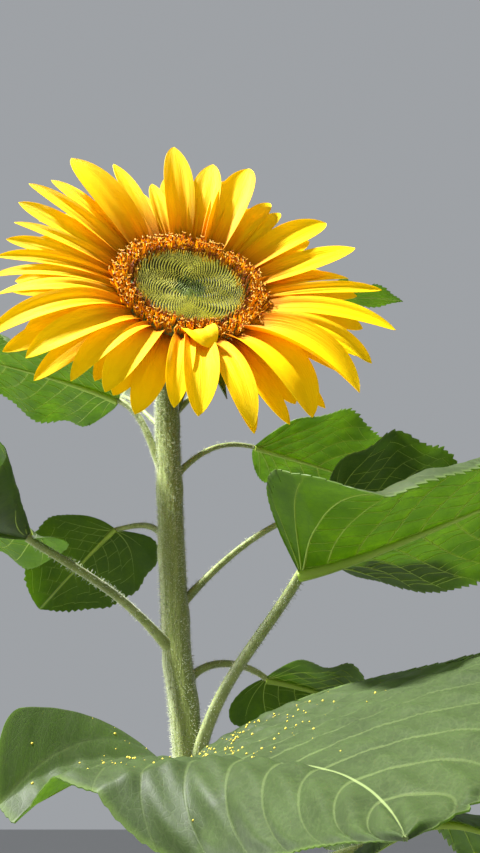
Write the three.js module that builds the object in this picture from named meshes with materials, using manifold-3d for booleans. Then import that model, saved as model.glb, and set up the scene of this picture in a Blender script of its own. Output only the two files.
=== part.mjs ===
// A sunflower plant: one stem, its leaves on long stalks, and one flower head that looks forward and up.
// Millimetres, +Z up, the front at -Y. The origin is the middle of the flat cut under the stem.
import * as THREE from "three";
import Module from "manifold-3d";

const wasm = await Module();
wasm.setup();

// Clear space between neighbouring solids.
const GAP = 0.3;

// Stem: the line it follows from the ground to the back of the head, and its radii.
const STEM_LINE = [
  [0, 0, 0],
  [-4, 4, 600],
  [-11, 2, 1000],
  [-18, 0, 1186],
  [-28, 0, 1256],
  [-34, 0, 1322],
  [-39, -1, 1390],
  [-42.5, -4, 1439],
  [-42.5, -9, 1462],
  [-40, -20, 1484],
  [-36, -32, 1494],
];
const STEM_FOOT_RADIUS = 15;
const STEM_NECK_RADIUS = 9.3;
const STEM_TAPER = 1.2;
const ROOT_FLARE = 5;
const ROOT_FLARE_HEIGHT = 35;
const STEM_SIDES = 12;
const STEM_RINGS = 34;
const STEM_SPACING = 0.8;

// Head: where the middle of its face is, and the way it looks.
const HEAD_CENTRE = new THREE.Vector3(-21, -86.5, 1510.5);
const HEAD_TURN = 13.75;
const HEAD_LIFT = 16.1;
const DISC_RADIUS = 42.7;
const DISC_RIM = 1.2;
const DISC_DISH = 3;
const RING_INNER = DISC_RADIUS + GAP;
const RING_RADIUS = 60;
const RING_HEIGHT = 6;
const CUP_TOP = -4;
const FLORET_BASE = CUP_TOP + GAP;
const CUP_RADIUS = 63.5;
const CUP_DEPTH = 40;
const NECK_RADIUS = 11;
const HEAD_SIDES = 32;

// Ray florets: angle clockwise from the top, length and width.
const RAYS = [
  [354, 99, 24],
  [0, 72, 15],
  [6, 86, 24],
  [13, 82, 14],
  [20, 95, 28],
  [31, 78, 16],
  [38, 70, 16],
  [50, 92, 26],
  [68, 90, 25],
  [86, 92, 13],
  [101, 100, 22],
  [115, 88, 18],
  [130, 93, 34],
  [145, 87, 36],
  [166, 86, 20],
  [178, 76, 24],
  [186, 66, 18],
  [206, 74, 22],
  [215, 80, 20],
  [224, 92, 22],
  [236, 102, 20],
  [249, 82, 16],
  [260, 84, 14],
  [267, 80, 14],
  [274, 76, 16],
  [282, 76, 14],
  [292, 84, 18],
  [300, 90, 16],
  [309, 86, 14],
  [319, 92, 30],
  [332, 86, 18],
  [344, 62, 14],
];
const RAY_LIFT = 16;
const RAY_TOP_LIFT = 8;
const RAY_BEND = -16;
const RAY_THICKNESS = 2;
const RAY_RINGS = 5;
const RAY_CLEARANCE = 40;
// The narrow rim under the rays that joins them.
const RAY_HOLD = { inner: RING_RADIUS + GAP, outer: CUP_RADIUS, low: FLORET_BASE, high: -1.2 };

// Bracts: two rows of green pointed scales behind the rays.
const BRACT_ROWS = [
  { count: 11, radius: 56, depth: -13, pitch: -12, length: 44, width: 17 },
  { count: 9, radius: 49, depth: -20, pitch: -28, length: 52, width: 15 },
];
const BRACT_SUNK = 10;
const BRACT_THICKNESS = 1.6;
const BRACT_RINGS = 5;

// Leaf rule: how the outline widens and closes, where its widest lobes sit, and how fine the solid is.
const HEART_SHAPE = [0.55, 0.95];
const OVAL_SHAPE = [0.8, 1.05];
const LOBE_REACH = 0.35;
const BLADE_THINNEST = 2;
const BLADE_SLENDERNESS = 88;
const BLADE_RINGS = 11;
const UPPER_COLUMNS = 3;
const LOWER_COLUMNS = 2;
const SECTION_STEPS = 8;
const LIP_START = 0.55;
const WAVE_POWER = 1.2;
const TIP_HALF_WIDTH = 1;
const STALK_SIDES = 7;
const STALK_RINGS = 9;

// Leaves that stand out round the upper stem. node: height at the stem; stalk: radius, and the heading and
// pitch with which it leaves the stem and reaches the blade; base, middle and tip: points of the midrib.
// Each half: width, lobe, and its rise, curl and lip in degrees, in equal steps from the base to the tip or at
// the given places.
const UPPER_LEAVES = [
  {
    node: 1382,
    stalk: { radius: 3, leaves: [190, 60], reaches: [170, 30] },
    base: [-84, 0, 1460],
    middle: [-136, 0, 1480],
    tip: [-225, 0, 1505],
    right: { width: 68, lobe: 0, rise: [0, -20], shape: OVAL_SHAPE },
    left: { width: 66, lobe: 0.05, rise: [4, 0], lip: [-60, -60] },
  },
  {
    node: 1428,
    stalk: { radius: 1.8, leaves: [130, 40], reaches: [110, 20] },
    base: [-93, 62, 1497],
    middle: [-80, 88, 1545],
    tip: [-60, 98, 1588],
    right: { width: 36, rise: [10, 10] },
    left: { width: 36, rise: [-10, -10] },
  },
  {
    node: 1252,
    stalk: { radius: 2.8, leaves: [215, 40], reaches: [205, 25] },
    base: [-112, -110, 1302],
    middle: [-142, -100, 1323],
    tip: [-250, -88, 1338],
    right: { width: 70, lobe: 0, rise: [-15, 0] },
    left: { width: 78, lobe: 0.06, rise: [32, 18] },
  },
  {
    node: 1332,
    stalk: { radius: 2.3, leaves: [180, 60], reaches: [170, -10] },
    base: [-84, 35, 1359],
    middle: [-112, 45, 1333],
    tip: [-142, 50, 1298],
    wave: { turns: 3, phase: 0, right: 1.5, left: 1.5 },
    right: { width: 46, lobe: 0.28, rise: [-58, -58], shape: [0.45, 0.95] },
    left: { width: 46, lobe: 0, rise: [44, 44], shape: [0.6, 0.65] },
  },
  {
    node: 1385,
    stalk: { radius: 2.2, leaves: [20, 55], reaches: [30, 0] },
    base: [29, 45, 1438],
    middle: [96, 88, 1436],
    tip: [170, 125, 1426],
    right: { width: 60, lobe: 0, rise: [30, 30], shape: OVAL_SHAPE },
    left: { width: 46, lobe: 0, rise: [-10, -30], shape: OVAL_SHAPE },
  },
  {
    node: 1284,
    stalk: { radius: 2.4, leaves: [20, 50], reaches: [0, 10] },
    base: [86, -10, 1362],
    middle: [136, -10, 1372],
    tip: [200, -10, 1366],
    right: { width: 52, lobe: 0.06, rise: [33, 33], shape: OVAL_SHAPE },
    left: { width: 50, lobe: 0, rise: [-33, -33], shape: OVAL_SHAPE },
  },
  {
    node: 1160,
    stalk: { radius: 3.7, leaves: [-60, 75], reaches: [-60, 35] },
    base: [53, -110, 1280],
    middle: [111, -125, 1296],
    tip: [215, -130, 1337],
    wave: { turns: 3, phase: 0, right: 3, left: 1.5 },
    right: {
      width: 90,
      lobe: 0.03,
      places: [0, 0.12, 0.3, 1],
      rise: [44, 20, 9, 20],
      lip: [10, -12, -45, -170],
      shape: [0.4, 0.95],
    },
    left: { width: 95, lobe: 0.06, rise: [22, -10, -50] },
  },
  {
    node: 1226,
    stalk: { radius: 2.6, leaves: [30, 75], reaches: [20, -35] },
    base: [36, 35, 1243],
    middle: [88, 48, 1231],
    tip: [146, 56, 1207],
    right: { width: 50, lobe: 0, rise: [12, 12] },
    left: { width: 54, lobe: 0.24, rise: [-50, -20] },
  },
  {
    node: 1130,
    stalk: { radius: 4.4, leaves: [-90, 50], reaches: [-70, -10] },
    base: [-18, -125, 1170],
    middle: [44, -228, 1168],
    tip: [58, -345, 1145],
    wave: { turns: 1.2, phase: 38, right: -2.4, left: 3 },
    right: {
      width: 103,
      lobe: 0.01,
      places: [0, 0.05, 0.1, 0.16, 0.24, 0.35, 0.5, 0.75, 1],
      rise: [41, 17, 14.5, 11, 2.6, 6.7, 2, -12, -27],
      curl: [-52, -50, -56, -44, -14, -41, -129, -150, -103],
      shape: [0.04, 0.92],
    },
    left: { width: 112, lobe: 0.03, rise: [29, 28, 28, 20, 12] },
  },
  {
    node: 1440,
    stalk: { radius: 1.8, leaves: [25, 45], reaches: [20, 10] },
    base: [58, -5, 1552],
    middle: [112, 0, 1565],
    tip: [164, 8, 1566],
    right: { width: 28, lobe: 0, rise: [-10, -10], shape: OVAL_SHAPE },
    left: { width: 26, lobe: 0, rise: [10, 10], shape: OVAL_SHAPE },
  },
];

// Leaves lower down, in turn round the stem, each a little larger than the one above.
const LOWER_LEAF_COUNT = 10;
const LOWER_LEAF_TOP = 1070;
const LOWER_LEAF_STEP = 88;
const LOWER_LEAF_HEADING = 8;
const GOLDEN_ANGLE = 137.5;
const LOWER_STALK = { radius: 4.2, pitch: 42, reach: 112, rise: 62 };
const LOWER_BLADE = { length: 205, growth: 5, width: 92, droop: 0.5 };

const COLOURS = {
  stem: 0x8a9a4e,
  stalk: 0x7f9546,
  leaf: 0x4f7f2a,
  cup: 0x5f8a36,
  disc: 0x8e9440,
  floret: 0xb8761a,
  ray: 0xf7bd06,
};

const UP = new THREE.Vector3(0, 0, 1);
const toRadians = THREE.MathUtils.degToRad;
const lerp = THREE.MathUtils.lerp;
const clamp = THREE.MathUtils.clamp;

// The direction with that heading, anticlockwise from +X seen from above, and that pitch above level.
function direction(heading, pitch) {
  const level = Math.cos(toRadians(pitch));
  return new THREE.Vector3(
    Math.cos(toRadians(heading)) * level,
    Math.sin(toRadians(heading)) * level,
    Math.sin(toRadians(pitch)),
  );
}

function material(colour, roughness) {
  return new THREE.MeshStandardMaterial({ color: colour, roughness, metalness: 0 });
}

// A closed solid through rings of points that all have the same count, with a fan over each end.
function loft(rings) {
  const count = rings[0].length;
  const points = rings.flat();
  const triangles = [];
  for (let ring = 0; ring + 1 < rings.length; ring++) {
    for (let i = 0; i < count; i++) {
      const a = ring * count + i;
      const b = ring * count + ((i + 1) % count);
      triangles.push(a, b, b + count, a, b + count, a + count);
    }
  }
  for (const [first, order] of [[0, -1], [(rings.length - 1) * count, 1]]) {
    const middle = new THREE.Vector3();
    for (let i = 0; i < count; i++) middle.addScaledVector(points[first + i], 1 / count);
    const hub = points.push(middle) - 1;
    for (let i = 0; i < count; i++) {
      const a = first + i;
      const b = first + ((i + 1) % count);
      triangles.push(...(order > 0 ? [a, b, hub] : [b, a, hub]));
    }
  }
  const solid = new wasm.Manifold(
    new wasm.Mesh({
      numProp: 3,
      vertProperties: new Float32Array(points.flatMap((point) => point.toArray())),
      triVerts: new Uint32Array(triangles),
    }),
  );
  return solid.volume() < 0 ? loft(rings.map((ring) => [...ring].reverse())) : solid;
}

// The largest body of a solid, without the scraps that a cut leaves beside it.
function largestBody(solid) {
  return solid.decompose().reduce((best, body) => (body.volume() > best.volume() ? body : best));
}

function geometryOf(solid) {
  const { vertProperties, triVerts, numProp } = solid.getMesh();
  const positions = new Float32Array((vertProperties.length / numProp) * 3);
  for (let i = 0; i < positions.length / 3; i++) {
    positions.set(vertProperties.subarray(i * numProp, i * numProp + 3), i * 3);
  }
  const geometry = new THREE.BufferGeometry();
  geometry.setAttribute("position", new THREE.BufferAttribute(positions, 3));
  geometry.setIndex(new THREE.BufferAttribute(triVerts, 1));
  return geometry;
}

// A round tube along points, square to the line; radiusAt(share of the way) gives its radius.
function tube(points, tangents, sides, radiusAt) {
  const side = new THREE.Vector3().crossVectors(tangents[0], new THREE.Vector3(0, 1, 0.1)).normalize();
  const rings = points.map((point, index) => {
    const tangent = tangents[index];
    side.addScaledVector(tangent, -side.dot(tangent)).normalize();
    const other = new THREE.Vector3().crossVectors(tangent, side);
    const radius = radiusAt(index / (points.length - 1));
    return Array.from({ length: sides }, (_, i) => {
      const angle = (2 * Math.PI * i) / sides;
      return point
        .clone()
        .addScaledVector(side, radius * Math.cos(angle))
        .addScaledVector(other, radius * Math.sin(angle));
    });
  });
  return loft(rings);
}

// Head directions: right and up as seen from its front, and outward from its face.
const headOut = direction(HEAD_TURN - 90, HEAD_LIFT);
const headRight = new THREE.Vector3().crossVectors(UP, headOut).normalize();
const headUp = new THREE.Vector3().crossVectors(headOut, headRight);
const neckEnd = HEAD_CENTRE.clone().addScaledVector(headOut, CUP_TOP - CUP_DEPTH);

// A point of the head from its radius, its angle clockwise from the top, and its height off the face.
function headPoint(radius, angle, height) {
  return HEAD_CENTRE.clone()
    .addScaledVector(headRight, radius * Math.sin(toRadians(angle)))
    .addScaledVector(headUp, radius * Math.cos(toRadians(angle)))
    .addScaledVector(headOut, height);
}

// A solid turned round the head's axis from a closed profile of [radius, height], none of it on the axis.
function turnedRing(profile) {
  const count = profile.length;
  const points = [];
  const triangles = [];
  for (let i = 0; i < HEAD_SIDES; i++) {
    profile.forEach(([radius, height]) => points.push(headPoint(radius, (360 * i) / HEAD_SIDES, height)));
    for (let j = 0; j < count; j++) {
      const a = i * count + j;
      const b = i * count + ((j + 1) % count);
      const c = (a + count) % (HEAD_SIDES * count);
      const d = (b + count) % (HEAD_SIDES * count);
      triangles.push(a, b, d, a, d, c);
    }
  }
  const solid = new wasm.Manifold(
    new wasm.Mesh({
      numProp: 3,
      vertProperties: new Float32Array(points.flatMap((point) => point.toArray())),
      triVerts: new Uint32Array(triangles),
    }),
  );
  return solid.volume() < 0 ? turnedRing([...profile].reverse()) : solid;
}

// A solid turned round the head's axis from a profile of [radius, height] that starts and ends near the axis.
function turnedBody(profile) {
  return loft(
    profile.map(([radius, height]) =>
      Array.from({ length: HEAD_SIDES }, (_, i) => headPoint(radius, (360 * i) / HEAD_SIDES, height)),
    ),
  );
}

function discSolid() {
  return turnedBody([
    [DISC_RADIUS * 0.5, FLORET_BASE],
    [DISC_RADIUS, FLORET_BASE],
    [DISC_RADIUS, DISC_RIM * 0.4],
    [DISC_RADIUS * 0.94, DISC_RIM],
    [DISC_RADIUS * 0.6, DISC_RIM - DISC_DISH * 0.55],
    [DISC_RADIUS * 0.2, DISC_RIM - DISC_DISH],
  ]);
}

function ringSolid() {
  return turnedRing([
    [RING_INNER, FLORET_BASE],
    [RING_RADIUS, FLORET_BASE],
    [RING_RADIUS, RING_HEIGHT * 0.5],
    [RING_RADIUS - 3, RING_HEIGHT],
    [RING_INNER + 5, RING_HEIGHT * 0.8],
    [RING_INNER, 1],
  ]);
}

// A flat four-cornered ring round a point.
function flatSection(point, side, up, half, thickness) {
  const corners = [
    [-half, thickness / 2],
    [half, thickness / 2],
    [half, -thickness / 2],
    [-half, -thickness / 2],
  ];
  return corners.map(([x, y]) => point.clone().addScaledVector(side, x).addScaledVector(up, y));
}

// How wide a ray floret is along its length, as a share of its full width.
function rayOutline(t) {
  const widening = 0.42 + 0.58 * Math.sin((Math.PI / 2) * Math.min(t / 0.5, 1));
  const closing = 1 - Math.max(0, (t - 0.5) / 0.5) ** 2.1;
  return Math.max(widening * closing ** 0.85, 0.04);
}

function raySolid([angle, length, width]) {
  const outward = headPoint(1, angle, 0).sub(HEAD_CENTRE);
  const side = new THREE.Vector3().crossVectors(outward, headOut);
  const lift = RAY_LIFT + RAY_TOP_LIFT * Math.cos(toRadians(angle));
  const point = headPoint((RAY_HOLD.inner + RAY_HOLD.outer) / 2, angle, (RAY_HOLD.low + RAY_HOLD.high) / 2);
  const rings = [];
  for (let i = 0; i < RAY_RINGS; i++) {
    const t = i / (RAY_RINGS - 1);
    const pitch = toRadians(lift + RAY_BEND * t);
    const along = outward.clone().multiplyScalar(Math.cos(pitch)).addScaledVector(headOut, Math.sin(pitch));
    const up = new THREE.Vector3().crossVectors(side, along).normalize();
    const half = (width / 2) * rayOutline(t);
    rings.push(flatSection(point, side, up, half, RAY_THICKNESS));
    point.addScaledVector(along, length / (RAY_RINGS - 1));
  }
  return loft(rings);
}

function raysSolid() {
  const { inner, outer, low, high } = RAY_HOLD;
  const hold = turnedRing([
    [inner, low],
    [outer, low],
    [outer, high],
    [inner, high],
  ]);
  const clearance = turnedBody([
    [inner * 0.5, low - RAY_CLEARANCE],
    [inner, low - RAY_CLEARANCE],
    [inner, high + RAY_CLEARANCE],
    [inner * 0.5, high + RAY_CLEARANCE],
  ]);
  const rays = RAYS.map(raySolid).reduce((joined, ray) => joined.add(ray), hold);
  return largestBody(rays.subtract(clearance));
}

function bractSolid(row, angle) {
  const outward = headPoint(1, angle, 0).sub(HEAD_CENTRE);
  const side = new THREE.Vector3().crossVectors(outward, headOut);
  const point = headPoint(row.radius - BRACT_SUNK, angle, row.depth);
  const rings = [];
  for (let i = 0; i < BRACT_RINGS; i++) {
    const t = i / (BRACT_RINGS - 1);
    const pitch = toRadians(row.pitch * (0.4 + 1.2 * t));
    const along = outward.clone().multiplyScalar(Math.cos(pitch)).addScaledVector(headOut, Math.sin(pitch));
    const up = new THREE.Vector3().crossVectors(side, along).normalize();
    const half = Math.max((row.width / 2) * (1 - t) ** 1.3 * (1 + 1.2 * t), 0.6);
    rings.push(flatSection(point, side, up, half, BRACT_THICKNESS));
    point.addScaledVector(along, (row.length + BRACT_SUNK) / (BRACT_RINGS - 1));
  }
  return loft(rings);
}

function cupSolid() {
  const back = CUP_TOP - CUP_DEPTH + GAP;
  const cup = turnedBody([
    [CUP_RADIUS * 0.5, CUP_TOP],
    [CUP_RADIUS, CUP_TOP],
    [CUP_RADIUS, CUP_TOP - 3],
    [CUP_RADIUS * 0.88, CUP_TOP - 11],
    [CUP_RADIUS * 0.55, CUP_TOP - 20],
    [CUP_RADIUS * 0.27, CUP_TOP - 27],
    [NECK_RADIUS, back],
    [NECK_RADIUS * 0.5, back],
  ]);
  let joined = cup;
  BRACT_ROWS.forEach((row, rowIndex) => {
    for (let i = 0; i < row.count; i++) {
      joined = joined.add(bractSolid(row, (360 * (i + 0.5 * rowIndex)) / row.count));
    }
  });
  return largestBody(joined);
}

// The stem's line, from the ground to the flat end behind the head.
const stemCurve = new THREE.CatmullRomCurve3(
  [...STEM_LINE.map((spot) => new THREE.Vector3(...spot)), neckEnd],
  false,
  "centripetal",
);

function stemRadius(height, share) {
  const flare = ROOT_FLARE * Math.exp(-((height / ROOT_FLARE_HEIGHT) ** 2));
  return STEM_NECK_RADIUS + (STEM_FOOT_RADIUS - STEM_NECK_RADIUS) * (1 - share) ** STEM_TAPER + flare;
}

// The stem, or the room it takes when it is grown by some extra radius.
function stemSolid(extra) {
  const shares = Array.from({ length: STEM_RINGS }, (_, i) => (i / (STEM_RINGS - 1)) ** STEM_SPACING);
  const points = shares.map((share) => stemCurve.getPointAt(share));
  const tangents = shares.map((share) => stemCurve.getTangentAt(share));
  tangents[0].copy(UP);
  tangents[STEM_RINGS - 1].copy(headOut);
  return tube(points, tangents, STEM_SIDES, (turn) => {
    const share = turn ** STEM_SPACING;
    return stemRadius(stemCurve.getPointAt(share).z, share) + extra;
  });
}

// The point of the stem's line at that height.
function stemPoint(height) {
  let low = 0;
  let high = 1;
  while (high - low > 1e-4) {
    const middle = (low + high) / 2;
    if (stemCurve.getPointAt(middle).z < height) low = middle;
    else high = middle;
  }
  return stemCurve.getPointAt(low);
}

// A leaf's midrib as an arc through its base, middle and tip.
function midribOf(leaf) {
  const [base, middle, tip] = [leaf.base, leaf.middle, leaf.tip].map((spot) => new THREE.Vector3(...spot));
  const control = middle.clone().multiplyScalar(2).addScaledVector(base, -0.5).addScaledVector(tip, -0.5);
  const curve = new THREE.QuadraticBezierCurve3(base, control, tip);
  curve.arcLengthDivisions = 64;
  return { curve, length: curve.getLength() };
}

// The value at a share of the way along a list of values, which has equal steps or as many places.
function valueAlong(values, share, places) {
  const last = values.length - 1;
  const spots = places?.length === values.length ? places : values.map((_, index) => index / Math.max(last, 1));
  const next = spots.findIndex((spot) => spot >= share);
  if (next < 1) return values[next < 0 ? last : 0];
  const low = spots[next - 1];
  return lerp(values[next - 1], values[next], (share - low) / (spots[next] - low));
}

// Half the blade's width and the setback of its margin, at a share of the way along the midrib.
function bladeOutline(half, length, t) {
  const [opening, closing] = half.shape ?? HEART_SHAPE;
  const widest = opening / (opening + closing);
  const full = widest ** opening * (1 - widest) ** closing;
  const width = (half.width * t ** opening * (1 - t) ** closing) / full;
  const setback = (half.lobe ?? 0.12) * length * Math.sin(Math.PI * Math.sqrt(Math.min(t / LOBE_REACH, 1)));
  return { width, setback };
}

// A point of the blade's middle surface, x along the midrib and across it by q, with the surface's normal.
function bladeSpot(leaf, half, midrib, x, q) {
  const t = x / midrib.length;
  const held = clamp(t, 0, 1);
  const point = midrib.curve.getPointAt(held);
  const along = midrib.curve.getTangentAt(held);
  const side = new THREE.Vector3().crossVectors(along, UP).normalize();
  const up = new THREE.Vector3().crossVectors(side, along);
  if (t < 0) point.addScaledVector(along, x);
  const isRight = half === leaf.right;
  const [rise, curl, lip] = [half.rise, half.curl ?? [0], half.lip ?? [0]].map((values) =>
    toRadians(valueAlong(values, held, half.places)),
  );
  const share = q / half.width;
  const angleAt = (u) => rise + curl * u + lip * clamp((u - LIP_START) / (1 - LIP_START), 0, 2);
  let across = 0;
  let height = 0;
  for (let i = 0; i < SECTION_STEPS; i++) {
    const angle = angleAt((share * (i + 0.5)) / SECTION_STEPS);
    across += (Math.cos(angle) * q) / SECTION_STEPS;
    height += (Math.sin(angle) * q) / SECTION_STEPS;
  }
  const { turns, phase, right, left } = leaf.wave ?? { turns: 3, phase: 0, right: 4, left: 4 };
  const swing = 2 * Math.PI * turns * t + toRadians(phase) + (isRight ? 0 : 1.7);
  height += (isRight ? right : left) * Math.sin(swing) * share ** WAVE_POWER;
  const outward = isRight ? 1 : -1;
  point.addScaledVector(side, outward * across).addScaledVector(up, height);
  const tilt = angleAt(share);
  const normal = up.clone().multiplyScalar(Math.cos(tilt)).addScaledVector(side, -outward * Math.sin(tilt));
  return { point, normal };
}

// A blade: rings that run from margin to margin over the top and back underneath, with a thick midrib.
function bladeSolid(leaf) {
  const midrib = midribOf(leaf);
  const thickness = Math.max(BLADE_THINNEST, midrib.length / BLADE_SLENDERNESS);
  const columns = leaf.columns ?? UPPER_COLUMNS;
  const rings = [];
  for (let i = 0; i < BLADE_RINGS; i++) {
    const t = lerp(0.003, 1, (i / (BLADE_RINGS - 1)) ** 1.5);
    const top = [];
    const bottom = [];
    for (let column = -columns; column <= columns; column++) {
      const half = column < 0 ? leaf.left : leaf.right;
      const share = Math.abs(column) / columns;
      const { width, setback } = bladeOutline(half, midrib.length, t);
      const edge = Math.max(width, TIP_HALF_WIDTH);
      const x = midrib.length * t - setback * share;
      const { point, normal } = bladeSpot(leaf, half, midrib, x, edge * share);
      const rib = column === 0 ? leaf.stalk.radius * 1.2 * (1 - t) : 0;
      top.push(point.clone().addScaledVector(normal, thickness / 2));
      bottom.push(point.clone().addScaledVector(normal, -thickness / 2 - rib));
    }
    rings.push([...top, ...bottom.reverse()]);
  }
  return loft(rings);
}

// A leaf's stalk from inside the stem to the blade, or the room it takes when grown.
function stalkSolid(leaf, extra) {
  const start = stemPoint(leaf.node);
  const end = new THREE.Vector3(...leaf.base);
  const span = start.distanceTo(end);
  const reaching = direction(...leaf.stalk.reaches);
  const curve = new THREE.CubicBezierCurve3(
    start,
    start.clone().addScaledVector(direction(...leaf.stalk.leaves), span * 0.4),
    end.clone().addScaledVector(reaching, -span * 0.35),
    end.clone().addScaledVector(reaching, extra - GAP),
  );
  const shares = Array.from({ length: STALK_RINGS }, (_, i) => i / (STALK_RINGS - 1));
  const points = shares.map((share) => curve.getPointAt(share));
  const tangents = shares.map((share) => curve.getTangentAt(share));
  return tube(points, tangents, STALK_SIDES, (share) => {
    const swelling = 0.5 * Math.exp(-((share / 0.16) ** 2));
    return leaf.stalk.radius * (lerp(1.2, 0.85, share) + swelling) + extra;
  });
}

function lowerLeaf(index) {
  const node = LOWER_LEAF_TOP - LOWER_LEAF_STEP * index;
  const heading = LOWER_LEAF_HEADING + GOLDEN_ANGLE * index;
  const length = LOWER_BLADE.length + LOWER_BLADE.growth * index;
  const width = LOWER_BLADE.width + LOWER_BLADE.growth * 0.5 * index;
  const outward = direction(heading, 0);
  const base = stemPoint(node).addScaledVector(outward, LOWER_STALK.reach);
  base.z += LOWER_STALK.rise;
  const reach = length * 0.5;
  const middle = base.clone().addScaledVector(outward, reach * 0.97);
  const tip = base.clone().addScaledVector(outward, reach * 1.75);
  middle.z += length * 0.02;
  tip.z -= length * LOWER_BLADE.droop;
  return {
    node,
    stalk: {
      radius: LOWER_STALK.radius,
      leaves: [heading, LOWER_STALK.pitch],
      reaches: [heading, 12],
    },
    base: base.toArray(),
    middle: middle.toArray(),
    tip: tip.toArray(),
    columns: LOWER_COLUMNS,
    wave: { turns: 3, phase: 60 * index, right: 6, left: 6 },
    right: { width, rise: [16, 4], curl: [-30, -20] },
    left: { width, rise: [16, 4], curl: [-30, -20] },
  };
}

function addNode(group, name, solid, colour, roughness) {
  const mesh = new THREE.Mesh(geometryOf(solid), material(colour, roughness));
  mesh.name = name;
  group.add(mesh);
}

const plant = new THREE.Group();
const head = new THREE.Group();
const foliage = new THREE.Group();
plant.add(head, foliage);

addNode(plant, "stem", stemSolid(0), COLOURS.stem, 0.7);
addNode(head, "head_cup", cupSolid(), COLOURS.cup, 0.7);
addNode(head, "head_disc", discSolid(), COLOURS.disc, 0.8);
addNode(head, "floret_ring", ringSolid(), COLOURS.floret, 0.8);
addNode(head, "ray_florets", raysSolid(), COLOURS.ray, 0.55);

const stemRoom = stemSolid(GAP);
const leaves = [...UPPER_LEAVES, ...Array.from({ length: LOWER_LEAF_COUNT }, (_, i) => lowerLeaf(i))];
leaves.forEach((leaf, index) => {
  const name = "leaf_" + String(index + 1).padStart(2, "0");
  const stalk = largestBody(stalkSolid(leaf, 0).subtract(stemRoom));
  const blade = largestBody(bladeSolid(leaf).subtract(stalkSolid(leaf, GAP)));
  addNode(foliage, name + "_stalk", stalk, COLOURS.stalk, 0.7);
  addNode(foliage, name + "_blade", blade, COLOURS.leaf, 0.6);
});

export default plant;
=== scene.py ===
import bpy
import numpy as np
from math import radians, pi
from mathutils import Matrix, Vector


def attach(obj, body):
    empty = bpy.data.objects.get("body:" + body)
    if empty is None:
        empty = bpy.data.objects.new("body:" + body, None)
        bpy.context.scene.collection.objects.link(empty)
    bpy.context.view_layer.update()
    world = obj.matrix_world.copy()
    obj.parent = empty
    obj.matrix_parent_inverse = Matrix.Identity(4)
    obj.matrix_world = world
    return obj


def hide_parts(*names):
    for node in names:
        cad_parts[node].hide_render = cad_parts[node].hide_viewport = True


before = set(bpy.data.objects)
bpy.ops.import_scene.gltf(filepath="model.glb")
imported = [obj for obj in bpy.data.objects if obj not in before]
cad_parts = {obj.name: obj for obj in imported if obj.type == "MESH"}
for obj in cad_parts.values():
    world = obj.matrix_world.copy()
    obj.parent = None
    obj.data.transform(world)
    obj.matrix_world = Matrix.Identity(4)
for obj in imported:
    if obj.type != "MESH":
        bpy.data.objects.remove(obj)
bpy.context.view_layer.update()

# Sizes below are in millimetres, as in the part's source, and are scaled as they go into a mesh.
mm = 0.001
upward = np.array([0.0, 0.0, 1.0])


def unit(vectors):
    return vectors / np.linalg.norm(vectors, axis=-1, keepdims=True)


def direction(heading, pitch):
    turn, tilt = np.radians(heading), np.radians(pitch)
    return np.array([np.cos(turn) * np.cos(tilt), np.sin(turn) * np.cos(tilt), np.sin(tilt)])


def valueAlong(values, share, places):
    return np.interp(share, places if len(places) == len(values) else np.linspace(0, 1, len(values)), values)


def pointsAlong(shares, points, share):
    return np.stack([np.interp(share, shares, points[:, axis]) for axis in range(3)], -1)


# How far along its line each point lies, as a share, and the line's length.
def sharesOf(points):
    lengths = np.concatenate([[0], np.cumsum(np.linalg.norm(np.diff(points, axis=0), axis=1))])
    return lengths / lengths[-1], lengths[-1]


def clearSelection():
    bpy.ops.object.select_all(action="DESELECT")


def makeActive(piece):
    clearSelection()
    piece.select_set(True)
    bpy.context.view_layer.objects.active = piece


def rename(piece, name):
    piece.name = name
    piece.data.name = name
    return piece


def applyModifier(piece, kind, **settings):
    makeActive(piece)
    modifier = piece.modifiers.new("step", kind)
    for key, value in settings.items():
        setattr(modifier, key, value)
    bpy.ops.object.modifier_apply(modifier=modifier.name)


def smoothOver(piece, angle):
    makeActive(piece)
    bpy.ops.object.shade_smooth_by_angle(angle=radians(angle))


def joinPieces(pieces, name):
    makeActive(pieces[0])
    for piece in pieces:
        piece.select_set(True)
    if len(pieces) > 1:
        bpy.ops.object.join()
    return rename(bpy.context.object, name)


# A grid primitive whose corners are moved to rows of points, facing columns x rows.
def sheetOf(name, points):
    rows, columns = points.shape[:2]
    clearSelection()
    bpy.ops.mesh.primitive_grid_add(x_subdivisions=columns - 1, y_subdivisions=rows - 1, size=1)
    piece = rename(bpy.context.object, name)
    piece.data.vertices.foreach_set("co", (points * mm).reshape(-1))
    piece.data.update()
    return piece


def setUv(piece, flat):
    corners = np.empty(len(piece.data.loops), int)
    piece.data.loops.foreach_get("vertex_index", corners)
    piece.data.uv_layers[0].uv.foreach_set("vector", flat[corners].reshape(-1))


def setAttribute(piece, name, values):
    layer = piece.data.attributes.new(name, "FLOAT", "POINT")
    layer.data.foreach_set("value", np.asarray(values, float).reshape(-1))


# Tubes along lines of points with a radius at each, all in one mesh. Resolution 0 gives four sides, and each step two more.
def tubesOf(name, lines, resolution):
    clearSelection()
    bpy.ops.curve.primitive_bezier_curve_add()
    piece = rename(bpy.context.object, name)
    curve = piece.data
    curve.splines.clear()
    curve.dimensions = "3D"
    curve.bevel_depth = mm
    curve.bevel_resolution = resolution
    curve.use_fill_caps = True
    for points, radii in lines:
        spline = curve.splines.new("POLY")
        spline.points.add(len(points) - 1)
        spline.points.foreach_set("co", np.c_[points * mm, np.ones(len(points))].reshape(-1))
        spline.points.foreach_set("radius", np.asarray(radii, float))
    bpy.ops.object.convert(target="MESH")
    bpy.ops.object.transform_apply(location=True, rotation=True, scale=True)
    piece = rename(bpy.context.object, name)
    bpy.ops.object.shade_smooth()
    return piece


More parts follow.
